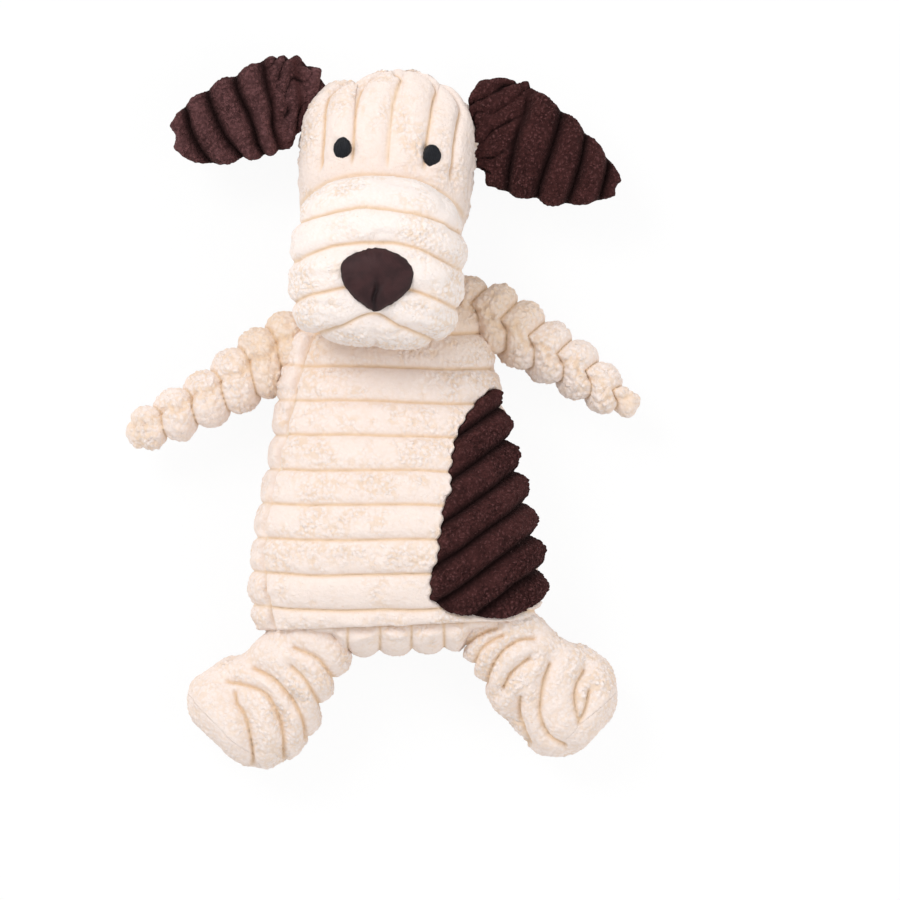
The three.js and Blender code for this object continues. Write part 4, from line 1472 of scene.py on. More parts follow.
@dataclass
class Squeaker:
    """The squeaker: a flat blown bulb with a reed in a holder at its top."""

    torso: Torso
    diameter: float = 36.0
    height: float = 16.0
    wall: float = 0.9
    place_share: float = 0.42
    side_power: float = 0.6
    face_power: float = 0.8
    stem: float = 6.4
    flange: float = 9.0
    flange_height: float = 1.2
    bore: float = 3.6
    holder_length: float = 6.0
    clearance: float = 0.3
    edge: float = 0.25
    travel: ClassVar[float] = 5.0

    def __post_init__(self) -> None:
        """Sets the bulb's middle."""
        torso = self.torso
        self.middle = torso.frame.out(np.array(
            [0, self.place_share * torso.length, torso.depth / 2 - torso.floor_cut]))

    def outline(self, inset: float) -> Array:
        """The bulb's outline: a superellipse of radius and height.

        Args:
            inset: How far inside the bulb's surface.

        Returns:
            Radius and height, from its top hole to its bottom.
        """
        angle = np.linspace(math.pi / 2, -math.pi / 2, 60)
        radius = (self.diameter / 2 - inset) * np.abs(np.cos(angle)) ** self.side_power
        rise = (self.height / 2 - inset) * signed_power(np.sin(angle), self.face_power)
        hole = np.where(angle > 0, self.stem / 2 + self.clearance, 0.02)
        return np.stack([np.maximum(radius, hole), rise], axis=-1)

    def spun(self, profile: Array, sides: int = 72) -> Array:
        """Spins a profile about the bulb's upright axis.

        Args:
            profile: Rows of radius and height.
            sides: Points round.

        Returns:
            Rows by columns of points.
        """
        angle = np.linspace(0, FULL_TURN, sides, endpoint=False)
        radius, rise = profile[:, :1], profile[:, 1:]
        ones = np.ones_like(angle)
        around = np.stack([radius * np.cos(angle), radius * np.sin(angle), rise * ones], axis=-1)
        return self.middle + around

    def room(self, points: Array) -> Array:
        """The hollow that the bulb needs above or below its middle.

        Args:
            points: Places in the toy's frame.

        Returns:
            The hollow's height at each place.
        """
        reach = np.linalg.norm((points - self.middle)[..., :2], axis=-1)
        share = np.clip(1 - (reach / (self.diameter / 2 + 1)) ** (2 / self.side_power), 0, 1)
        return (self.height / 2 + 1) * share ** (self.face_power / 2)

    def build(self, wardrobe: Wardrobe) -> None:
        """Makes and dresses the bulb, the reed's holder and the reed.

        Args:
            wardrobe: The finishes.
        """
        profile = np.concatenate([self.outline(0), self.outline(self.wall)[::-1]])
        profile = np.concatenate([profile, profile[:1]])
        rib = 0.48 * np.exp(-((profile[:, 1]) / 0.35) ** 2)
        profile[:, 0] += np.where(profile[:, 0] > self.diameter / 2 - self.wall / 2, rib, 0)
        bulb = self.turned_piece("squeaker_bulb", profile)
        wardrobe.dress(bulb, Slot.PLASTIC, "torso", "squeaker_capsule")
        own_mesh(bulb)
        seat = self.height / 2 + self.clearance
        top = seat + self.flange_height
        foot = top - self.holder_length
        bore, stem, flange, edge = self.bore / 2, self.stem / 2, self.flange / 2, self.edge
        holder = self.turned_piece("reed_holder", np.array([
            [bore, foot], [stem - edge, foot], [stem, foot + edge], [stem, seat], [flange - edge, seat],
            [flange, seat + edge], [flange, top - edge], [flange - edge, top], [bore + edge, top],
            [bore, top - edge], [bore, foot],
        ]))
        wardrobe.dress(holder, Slot.PLASTIC, "squeaker_valve", "squeaker_reed_holder")
        wardrobe.dress(self.reed(), Slot.PLASTIC, "squeaker_valve", "squeaker_reed")

    def turned_piece(self, name: str, profile: Array) -> bpy.types.Object:
        """A piece spun from a closed profile.

        Args:
            name: The piece's name.
            profile: Rows of radius and height.

        Returns:
            The object.
        """
        piece = Grid(self.spun(profile), True, self.middle).mesh(name)
        face_outwards(piece)
        return piece

    def reed(self) -> bpy.types.Object:
        """The reed: a thin tongue whose section is a rounded rectangle, narrower at its top."""
        low, high = (np.array(corner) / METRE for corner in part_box("squeaker_reed"))
        middle, half = (low + high) / 2, (high - low) / 2
        angle = np.linspace(0, FULL_TURN, 24, endpoint=False)
        rise = np.linspace(-1, 1, 20)[:, None]
        narrow = np.sqrt(1 - 0.6 * smooth_step(0.6, 1.0, rise) ** 2)
        x = half[0] * 0.97 * narrow * signed_power(np.cos(angle), 0.4)
        y = half[1] * 0.8 * signed_power(np.sin(angle), 0.6) + 0.15 * half[1] * rise
        z = half[2] * rise + 0 * angle
        return join_parts("reed_tongue", [(middle + np.stack([x, y, z], axis=-1), middle)])


# The head


@dataclass
class Head(Stuffed):
    """The stuffed head: skull panels, muzzle, nose, mouth, eyes and the neck's thread."""

    pivot: Array
    tilt: float = -4.7
    neck_rise: float = 2.0
    neck_z: float = 16.0
    neck_ball: float = 11.0
    floor_cut: float = 0.5
    length: float = 61.0
    width: float = 47.0
    depth: float = 38.0
    start: float = 1.0
    seam_share: float = 0.4
    width_shares: Pairs = ((0, 0.78), (0.3, 0.93), (0.55, 1), (1, 1))
    depth_shares: Pairs = ((0, 0.8), (0.35, 0.96), (0.65, 1), (1, 0.86))
    chin_top: float = 9.0
    muzzle_length: float = 46.0
    muzzle_width: float = 47.0
    muzzle_height: float = 46.0
    muzzle_y: float = 10.4
    muzzle_back: float = 2.0
    muzzle_droop: float = 3.0
    muzzle_slip: float = 0.8
    cheek: float = 0.115
    pinch_depth: float = 0.8
    pinch_width: float = 1.2
    nose_y: float = 6.3
    nose_sunk: float = 1.0
    nose_proud: float = 3.2
    eye_width: float = 4.7
    eye_height: float = 5.9
    eye_spacing: float = 24.0
    eye_y: float = 40.7
    skin_inset: float = 1.9
    spacing: float = 0.34
    columns: int = 270
    back_spacing: float = 0.48
    chin_spacing: float = 0.5
    hidden_pitch: float = 8.8
    lap: float = 4.0
    tuck: float = 2.5
    fade_y: float = 35.5
    fade_drop: float = 4.5
    fade_run: float = 3.5
    wadding_inset: float = 4.6
    thread_radius: float = 0.32
    cloth: Corduroy = Corduroy()
    top_places: Pairs = (
        (-24, 57.0), (-19.6, 59.5), (-11.0, 59.6), (-9.4, 59.2), (-6, 61.6), (-1.7, 62.8), (1.2, 63.4),
        (2.6, 62.8),
        (4.5, 63.4), (9.0, 62.8), (11.5, 60.8), (15, 60.3), (19.2, 59.0), (24, 56.5),
    )
    brow_grooves: Grooves = Grooves((
        ((30, -25.5), (46, -25.5), (58, -23.5)),
        ((34, -16.4), (40, -16.8), (50.5, -16.8), (55.3, -16.1), (58.3, -14.9)),
        ((36, -9.0), (44.7, -9.2), (50.6, -8.9), (55.9, -8.0), (60.2, -6.5)),
        ((36, 0.2), (46, 0.1), (52.5, 0.4), (58.5, 1.4), (61.5, 2.8)),
        ((36, 10.1), (46.3, 10.3), (54.6, 10.7), (59.9, 11.7)),
        ((35.1, 16.6), (43.3, 17.0), (49.2, 17.4), (55.7, 17.9)),
        ((31.9, 21.0), (36.7, 21.6), (42.1, 22.9), (50, 23.6)),
    ))
    muzzle_grooves: Grooves = Grooves((
        ((-20, -17.5), (-10, -15.5), (0, -13.5), (10, -15.5), (20, -17.5)),
        ((-22, -11.5), (-14.7, -7.7), (-10.1, -6.2), (-3.1, -2.4), (0, -1.4), (2.8, -2.2), (7.3, -4.2),
         (11.6, -5.6), (16.3, -7.0), (22, -10.5)),
        ((-22.5, -1.8), (-16.7, 2.1), (-8.9, 4.4), (0.2, 6.2), (10.1, 5.4), (15.5, 3.8), (22.5, 1.2)),
        ((-22.5, 9.4), (-17.5, 12.6), (-11.9, 15.4), (-5.0, 16.9), (3.8, 17.6), (11.6, 15.9), (22, 11.4)),
        ((-23.4, 19.2), (-18.3, 21.9), (-12.6, 23.9), (-5.7, 25.6), (1.9, 25.9), (7.8, 25.5), (13.8, 24.3),
         (22, 20.8)),
        ((-23, 28.6), (-16.6, 31.5), (-4.6, 34.3), (0.1, 34.7), (7.1, 35.0), (13.1, 33.4), (22.4, 28.8)),
    ))
    nose_outline_points: Pairs = (
        (-9.6, 8.5), (-9.0, 10.5), (-6.9, 12.5), (-3.0, 14.4), (1.1, 14.8), (5.9, 13.3), (8.6, 11.2),
        (9.7, 8.6),
        (8.9, 4.8), (6.3, 1.6), (3.2, -0.6), (0.2, -1.9), (-3.6, -0.1), (-6.7, 2.4), (-8.9, 5.3),
    )

    def __post_init__(self) -> None:
        """Sets the frames and the two forms."""
        turn = math.radians(self.tilt)
        down = np.array([-math.sin(turn), math.cos(turn), 0]) * self.neck_rise
        self.frame = Frame.turned(*(self.pivot - down)[:2], 0, self.tilt)
        self.skull = self.shape(((2.5, 6), (2.5, 3)), 2.5, self.start)
        base = self.frame.out(np.array([0, self.muzzle_y, self.neck_z + self.muzzle_back]))
        x, y, z = self.frame.axes
        self.muzzle_frame = Frame(base, np.array([x, z, -y]))
        self.muzzle = Lump(
            self.muzzle_length,
            steady(self.muzzle_width / 2),
            steady(self.muzzle_height / 2),
            lambda t: (t - 1) * self.muzzle_droop,
            width_powers=(2, 3), depth_powers=(2, 3), square=2.5,
        )
        self.middle = self.frame.out(np.array([0, self.length / 2, self.depth / 2]))

    def crossing(self, t: Array, side: Side) -> Array:
        """The angle at which the back panel's level seam meets the skull.

        Args:
            t: Shares along.
            side: Which side's seam.

        Returns:
            One angle a share.
        """
        far = 1.5 * math.pi if side is Side.LEFT else -0.5 * math.pi
        point = np.array([0, 0, self.seam_share * self.depth])
        return seam_angles(self.skull, self.frame, t, point, np.array([0, 0, 1.0]), far)

    def laid(self, t: Array, angle: Array) -> Grid:
        """The skull's smooth surface, its top domed as the brow's wales end.

        Args:
            t: Shares along.
            angle: Angles round.

        Returns:
            The grid, lifted off the table.
        """
        own = self.skull.points(t[:, None], angle, self.skin_inset)
        top = np.interp(own[..., 0], *zip(*self.top_places)) - self.length - self.start
        own[..., 1] += top * smooth_step(0.72, 0.97, t[:, None])
        grid = Grid(self.frame.out(own), False, self.middle)
        grid.lift(0.1)
        return grid

    def share_at(self, y: float) -> float:
        """The share along the skull at an own Y."""
        return (y - self.start) / self.length

    def forehead(self) -> Grid:
        """The forehead: wales that run up over the brow and fade above the muzzle, with a line of painted
        shade along the muzzle's edge.
        """
        t = self.skull.even(self.share_at(self.chin_top), 0.99999, self.spacing)
        angle = strip(self.crossing(t, Side.RIGHT), self.crossing(t, Side.LEFT), self.columns)
        grid = self.laid(t, angle)
        own = self.frame.own(grid.points)
        x, y, z = np.moveaxis(own, -1, 0)
        low = np.maximum(24 - z, 0) * np.sign(x)
        wales = self.brow_grooves.count(y, x + low)
        seam = grid.seam_distance(FIRST, BOTH)
        for sign in (-1, 1):
            eye = np.array([sign * self.eye_spacing / 2, self.eye_y])
            far = np.linalg.norm(own[..., :2] - eye, axis=-1)
            seam = np.minimum(seam, 1.9 + np.maximum(far - self.eye_width / 2, 0) * 2.0
                              + NO_SEAM * (z < self.depth / 2))
        fade = self.fade_y - self.fade_drop * smooth_step(13, 20, np.abs(x))
        ahead = smooth_step(0.5, 0.7, z / self.depth)
        keep = 1 - ahead * (1 - smooth_step(fade, fade + self.fade_run, y))
        plump = 0.9 * self.cloth.height * (1 - keep)
        dressed = self.cloth.dress(grid, wales, seam, Seed.BROW, plump, keep)
        # A line of painted shade on the brow along the muzzle's edge.
        dressed.darken(0.75 * (np.exp(-((self.muzzle_distance(own) + 0.3) / 0.6) ** 2) * ahead))
        return dressed.tucked(self.tuck, FIRST, BOTH)

    def muzzle_distance(self, own: Array) -> Array:
        """How far each place lies outside the muzzle as seen from the front.

        Args:
            own: Places in the head's frame.

        Returns:
            The distances, below zero inside.
        """
        t = np.linspace(0.1, 0.9, 50)[:, None]
        angle = np.linspace(0, FULL_TURN, 240, endpoint=False)[None]
        rim = self.frame.own(self.muzzle_frame.out(self.muzzle.points(t, angle, 0.1)))
        widest = np.argmax(np.hypot(rim[..., 0], rim[..., 1] - self.muzzle_y), axis=0)
        x, y = (rim[widest, np.arange(rim.shape[1]), k] for k in range(2))
        outline = np.stack([x, y - self.muzzle_y], axis=-1)
        return self.outside(outline, own[..., 0], own[..., 1] - self.muzzle_y)

    @staticmethod
    def outside(outline: Array, x: Array, y: Array) -> Array:
        """How far each place lies outside an outline, from the outline's radius in its direction.

        Args:
            outline: Points round the outline, about its middle.
            x: Places across, about the same middle.
            y: Places along.

        Returns:
            The distances, below zero inside.
        """
        turn = np.arctan2(outline[:, 1], outline[:, 0])
        order = np.argsort(turn)
        radius = np.hypot(outline[:, 0], outline[:, 1])[order]
        return np.hypot(x, y) - np.interp(np.arctan2(y, x), turn[order], radius, period=FULL_TURN)

    def chin(self) -> Grid:
        """The chin and throat: wales across, hidden by the muzzle from the front."""
        t = self.skull.even(0.0002, self.share_at(self.chin_top + self.lap), self.chin_spacing)
        grid = self.laid(t, strip(self.crossing(t, Side.RIGHT), self.crossing(t, Side.LEFT), 180))
        y = self.frame.own(grid.points)[..., 1]
        seam = np.minimum(grid.seam_distance(NEITHER, BOTH), np.maximum(self.chin_top - y, 0))
        under = -0.6 * smooth_step(self.chin_top, self.chin_top + 1, y)
        dressed = self.cloth.dress(grid, y / self.hidden_pitch, seam, Seed.THROAT, under)
        return dressed.tucked(self.tuck, NEITHER, BOTH)

    def back(self) -> Grid:
        """The back panel: wales that run along the head."""
        t = self.skull.even(0.0002, 0.99999, self.back_spacing)
        right = self.crossing(t, Side.RIGHT) + FULL_TURN
        grid = self.laid(t, strip(self.crossing(t, Side.LEFT), right, 240))
        seam = grid.seam_distance(NEITHER, BOTH)
        flat = smooth_step(0.3, 3.0, grid.points[..., 2])
        wales = self.frame.own(grid.points)[..., 0] / self.hidden_pitch
        dressed = self.cloth.dress(grid, wales, seam, Seed.HEAD_BACK, 0.0, 0.25 + 0.75 * flat)
        dressed.lift()
        return dressed.tucked(self.tuck, NEITHER, BOTH)

    def snout(self) -> Grid:
        """The muzzle: bowed wales across, two cheeks pinched together under the nose, and painted light on
        its crests.
        """
        t = self.muzzle.even(0.04, 0.999999, self.spacing)
        points = self.muzzle_frame.out(self.muzzle.points(t[:, None], all_round(t, 420), self.skin_inset))
        own = self.frame.own(points)
        down = np.arctan2(self.muzzle_y - own[..., 1], np.abs(own[..., 0]))
        cheek = self.cheek * np.exp(-(((down - math.radians(42)) / math.radians(22)) ** 2))
        cheek = cheek * (1 - 0.35 * smooth_step(52, 60, own[..., 2]))
        own[..., 0] *= 1 + cheek
        own[..., 1] = self.muzzle_y + (own[..., 1] - self.muzzle_y) * (1 + cheek)
        points = self.frame.out(own)
        x, y, z = (own[..., k] for k in range(3))
        middle = self.frame.out(np.array([0, self.muzzle_y + 3, self.depth]))
        grid = Grid(points, True, middle)
        below = smooth_step(-1.0, -5.0, y)
        pinch = -self.pinch_depth * np.exp(-((x - 1.2) / self.pinch_width) ** 2)
        pinch = pinch * below * smooth_step(34, 50, z)
        wales = self.muzzle_grooves.count(x, y + self.muzzle_slip)
        seam = 3 * smooth_step(-1.4, 0.0, self.nose_distance(x, y)) + 60 * (z < self.depth)
        side = smooth_step(0.6, 0.2, np.abs(z - self.depth - 4) / 40)
        # Painted light on the muzzle's crests.
        cloth = replace(self.cloth, brush=0.6)
        return cloth.dress(grid, wales, seam, Seed.MUZZLE, pinch, 1 - 0.1 * side)

    def nose_outline(self, count: int) -> Array:
        """The nose's outline: a closed smooth curve through its points.

        Args:
            count: How many points.

        Returns:
            The points about the nose's middle.
        """
        points = np.array(self.nose_outline_points) - [0, self.nose_y]
        looped = np.concatenate([points[-3:], points, points[:3]])
        places = np.arange(-3, len(points) + 3) / len(points)
        t = np.arange(count) / count
        return np.stack([curve(list(zip(places, looped[:, k])))(t) for k in range(2)], axis=-1)

    def nose_distance(self, x: Array, y: Array) -> Array:
        """How far each place lies outside the nose."""
        return self.outside(self.nose_outline(240), x, y - self.nose_y)

    def nose(self) -> Grid:
        """The nose: a padded shield with a turned edge and a crease from its middle to its point, with
        painted shade in the crease, the pleat and at the edge.
        """
        outline = self.nose_outline(360)
        jag = 0.16 * soft_noise(np.pad(outline, ((0, 0), (0, 1))), 0.9, Seed.NOSE_EDGE)
        outline = outline * (1 + jag / np.linalg.norm(outline, axis=1))[:, None]
        r = dome_rings(0.03, 0.01, 70)
        x, y = outline[:, 0] * r, outline[:, 1] * r
        dome = (1 - np.clip(r, 0, 1) ** 3.2) ** 0.62 + 0 * x
        crease = np.exp(-((x + 0.25 * np.sin(y)) / 0.7) ** 2) * smooth_step(1.5, -3.0, y)
        pleat = np.exp(-((x - 1.9 - 0.35 * y) / 1.0) ** 2)
        pleat = pleat * smooth_step(2.5, -2.0, y) * smooth_step(-7.5, -3.5, y)
        soft = soft_noise(np.stack([x, y, 0 * x], axis=-1), 3.4, Seed.NOSE_FACE)
        front = self.neck_z + self.muzzle_back + self.muzzle_length
        lift = self.nose_proud * dome - 0.95 * crease * dome - 0.4 * pleat * dome + 0.22 * soft * dome
        lift[0] = -2.6
        z = front - self.nose_sunk + 0.35 + lift
        own = np.stack([x, y + self.nose_y, z], axis=-1)
        inside = self.frame.out(np.array([0, self.nose_y, front - 4]))
        # Painted shade in the crease, the pleat and at the turned edge.
        tint = np.clip(0.9 * crease + 0.4 * pleat + smooth_step(0.93, 1.0, r) * 0.8, 0, 1) + 0 * x
        return Grid(self.frame.out(own), True, inside, {"groove": tint})

    def eye(self, side: Side) -> Grid:
        """An eye: a low dome of satin stitches, each a fine ridge that slants across it, with painted shade
        between the ridges.

        Args:
            side: Which eye.

        Returns:
            The eye's grid.
        """
        sign = side.value
        box_low, box_high = (np.array(c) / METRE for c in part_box(f"{side.word}_eye"))
        middle = (box_low + box_high) / 2
        angle = np.linspace(0, FULL_TURN, 120, endpoint=False)
        r = dome_rings(0.05, 0.02, 34)
        circle = np.stack([3 * np.cos(angle), 3 * np.sin(angle), 0 * angle + sign], -1)
        edge = 1 + 0.05 * soft_noise(circle, 0.8, Seed.EYE)
        x = self.eye_width / 2 * r * np.cos(angle) * edge
        y = self.eye_height / 2 * r * np.sin(angle) * edge
        ridge = np.abs(np.sin(math.pi * (x * 0.96 + y * 0.28) / 0.52))
        dome = np.sqrt(np.clip(1 - r**2.4, 0, 1))
        z = 0.9 * dome + 0.12 * ridge * np.sqrt(dome) + 0.0 * x
        z[0] = -1.6
        slope = sign * math.radians(15)
        own = np.stack([x * math.cos(slope) + z * math.sin(slope), y,
                        z * math.cos(slope) - x * math.sin(slope)], axis=-1)
        points = middle + np.array([0, 0, 0.3]) + own @ self.frame.axes
        # Painted shade between the stitches' ridges.
        return Grid(points, True, middle - np.array([0, 0, 3.0]), {"groove": (1 - ridge) * 0.7})

    def build(self, wardrobe: Wardrobe) -> None:
        """Makes and dresses the head's pieces.

        Args:
            wardrobe: The finishes.
        """
        for name, grid, poles, node in (
            ("brow_panel", self.forehead(), LAST, "forehead_panel"),
            ("cheek_panel", self.snout(), LAST, "muzzle_panel"),
            ("throat_panel", self.chin(), FIRST, "chin_panel"),
            ("head_back_cloth", self.back(), BOTH, "head_back_panel"),
        ):
            wardrobe.dress(grid.mesh(name, poles), Slot.CREAM, "head", node, 0.85)
        wardrobe.dress(self.nose().mesh("nose_cloth", LAST), Slot.SATIN, "head", "nose_pad", 0.7)
        for side in Side:
            eye = self.eye(side).mesh(f"{side.word}_eye_stitches", LAST)
            wardrobe.dress(eye, Slot.EYE, "head", f"{side.word}_eye")
        wardrobe.dress(self.mouth(), Slot.THREAD, "head", "mouth_stitch")
        wardrobe.dress(self.filling(), Slot.STUFFING, "head", "head_stuffing", 0.9)

    def mouth(self) -> bpy.types.Object:
        """The thread that pinches the cheeks together under the nose."""
        low, high = (np.array(c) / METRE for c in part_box("mouth_stitch"))
        x = (low[0] + high[0]) / 2
        path = np.array([[x, high[1] + 0.5, high[2] - 3.0], [x - 0.1, high[1] - 1.5, high[2] - 2.6],
                         [x - 0.2, low[1] + 2.2, low[2] + 0.6], [x - 0.3, low[1] + 1.8, low[2] - 0.8]])
        tube = strand(smooth_path(path, 80), self.thread_radius, 0.09, 1.2)
        return join_parts("mouth_thread", [(tube, path.mean(axis=0))], {"groove": 0.0})

    def filling(self) -> bpy.types.Object:
        """The head's filling: the skull's and the muzzle's inner forms, clouded."""
        parts = []
        for lump, frame in ((self.skull, self.frame), (self.muzzle, self.muzzle_frame)):
            t = lump.even(0.002, 0.998, 1.2)
            angle = np.linspace(0, FULL_TURN, 90, endpoint=False)
            points = frame.out(lump.points(t[:, None], angle[None], self.wadding_inset))
            middle = points.mean(axis=(0, 1))
            away = points - middle
            clouds = 0.7 * soft_noise(points, 6.0, Seed.HEAD_LUMPS)
            clouds = clouds + 0.9 * tufts(points, 3.0, Seed.HEAD_TUFTS)
            shrink = (clouds + 0.6)[..., None]
            points = points - away / np.linalg.norm(away, axis=-1, keepdims=True) * shrink
            parts.append((points, middle))
        return join_parts("head_wadding", parts)


def dome_rings(first: float, last: float, count: int) -> Array:
    """The radii of a dome's rings, as shares: its edge twice, then in even turns to its middle.

    Args:
        first: The turn of the first ring from the edge, in radians.
        last: How far before the middle the last one stops.
        count: How many rings.

    Returns:
        The radii, as a column.
    """
    return np.concatenate([[1.0, 1.0], np.cos(np.linspace(first, math.pi / 2 - last, count))])[:, None]


# Limbs and ears


@dataclass(frozen=True)
class Gathering:
    """The thread that gathers a root: a wavy twisted ring round the back of its ball.

    Attributes:
        ball: The ball's radius.
        around: The ring's place, in degrees from the back of the ball.
        clearance: The gap to the ball.
        thread: The thread's thickness.
        wave: How far the ring wavers.
        waves: How often it does.
        points: Points along it.
    """

    ball: float
    around: float = 50.0
    clearance: float = 0.3
    thread: float = 0.8
    wave: float = 0.12
    waves: int = 14
    points: int = 240

    def ring(self, name: str, frame: Frame) -> bpy.types.Object:
        """Makes the ring.

        Args:
            name: The piece's name.
            frame: The root's frame, its own +Y along the limb.

        Returns:
            The object.
        """
        reach = self.ball + self.clearance + self.thread / 2
        turn = math.radians(self.around)
        angle = np.linspace(0, FULL_TURN, self.points, endpoint=False)
        radius = reach * math.sin(turn) + self.wave * np.sin(self.waves * angle)
        behind = -reach * math.cos(turn)
        path = frame.out(np.stack([radius * np.cos(angle), behind + 0 * angle, radius * np.sin(angle)], -1))
        tube = strand(np.concatenate([path, path[:1]]), self.thread / 2 - 0.14, 0.08, 1.4)
        tube[-1] = tube[0]
        piece = Grid(tube, True, frame.out(np.array([0, behind, 0.0])),
                     {"groove": np.zeros(tube.shape[:2])}).mesh(name)
        face_outwards(piece)
        return piece


@dataclass(frozen=True)
class Outline:
    """A limp part's form along its own +Y: tables from share to millimetres.

    Attributes:
        start: Where it starts, behind its joint.
        length: Its length.
        half: Its half width.
        drift: How far it bends sideways.
        depth: Its half depth.
        rise: How far its middle lies above its joint.
    """

    start: float
    length: float
    half: Pairs
    drift: Pairs
    depth: Pairs
    rise: Pairs = ((0, 0), (1, 0))

    def lump(self, width_powers: tuple[float, float], depth_powers: tuple[float, float],
             square: float) -> Lump:
        """The stuffed form.

        Args:
            width_powers: How its width closes at both ends.
            depth_powers: How its depth closes.
            square: How square its sections are.

        Returns:
            The form.
        """
        return Lump(self.length, curve(self.half), curve(self.depth), curve(self.rise), curve(self.drift),
                    self.start, width_powers, depth_powers, square)


@dataclass
class Ear:
    """A floppy ear: two brown panels, folded and crumpled at the root, sewn round the edge."""

    side: Side
    pivot: Array
    hinge: Array
    outline: Outline
    grooves: Grooves
    root: float
    width_powers: tuple[float, float] = (4, 3.9)
    depth_powers: tuple[float, float] = (3, 2.6)
    square: float = 2.1
    # How much painted light the left ear's crests take.
    left_brush: float = 0.75
    skin_inset: float = 2.6
    spacing: float = 0.34
    columns: int = 118
    fold: float = 1.7
    fold_lump: float = 3.2
    slant_size: float = 5.0
    crumpled_from: float = 1.5
    crumpled_to: float = 4.0
    cloth: Corduroy = Corduroy(
        height=4.0, crest_power=1.9, rise_power=0.85, groove_from=0.45, nub=1.15, nub_height=0.8,
        nub_floor=0.65, seam_width=1.5, seam_depth=0.3, pucker=0.2, fuzz=0.25)

    def __post_init__(self) -> None:
        """Sets the frame and the form, and paints light on the crests of the left ear, which faces the key
        lamp.
        """
        self.frame = Frame.hinged(self.pivot, self.hinge)
        self.lump = self.outline.lump(self.width_powers, self.depth_powers, self.square)
        # Painted light on the left ear's crests.
        if self.side is Side.LEFT:
            self.cloth = replace(self.cloth, brush=self.left_brush)

    def panel(self, front: bool) -> Grid:
        """One panel: half of the form's section, with wales across the ear and folds at the root, painted
        shade where the folds sink in.

        Args:
            front: Whether it is the panel that faces the viewer.

        Returns:
            The panel's grid.
        """
        t = self.lump.even(0.0005, 0.9995, self.spacing)
        first = 0.0 if front else math.pi
        angle = strip(np.full(len(t), first), np.full(len(t), first + math.pi), self.columns)
        points = self.frame.out(self.lump.points(t[:, None], angle, self.skin_inset))
        x, y, _ = np.moveaxis(self.frame.own(points), -1, 0)
        inside = np.array([self.lump.drift(np.array(0.5)), self.outline.length / 2, 0])
        grid = Grid(points, False, self.frame.out(inside))
        crumpled = smooth_step(self.root + self.crumpled_from, self.root - self.crumpled_to, y)
        slant = soft_noise(points, self.slant_size, Seed.EAR_SLANT)
        folds = np.abs(np.sin(0.42 * x + 0.55 * y + 1.9 * slant)) ** 0.7 - 0.6
        folds = folds * self.fold + soft_noise(points, self.fold_lump, Seed.EAR_FOLDS) * self.fold * 0.7
        dressed = self.cloth.dress(grid, self.grooves.count(x, y), grid.seam_distance(BOTH, BOTH),
                                   Seed.EAR + self.side.value, crumpled * folds, 1 - 0.8 * crumpled)
        # Painted shade where the crumpled root's folds sink in.
        dressed.darken(0.8 * (smooth_step(-0.2, -0.6, folds / self.fold) * crumpled))
        return dressed

    def build(self, wardrobe: Wardrobe) -> None:
        """Makes and dresses the ear's two panels.

        Args:
            wardrobe: The finishes.
        """
        word = self.side.word
        for front, face in ((True, "front"), (False, "back")):
            piece = self.panel(front).mesh(f"{word}_ear_{face}_cloth", BOTH)
            wardrobe.dress(piece, Slot.BROWN, f"{word}_ear", f"{word}_ear_{face}_panel", 0.6)


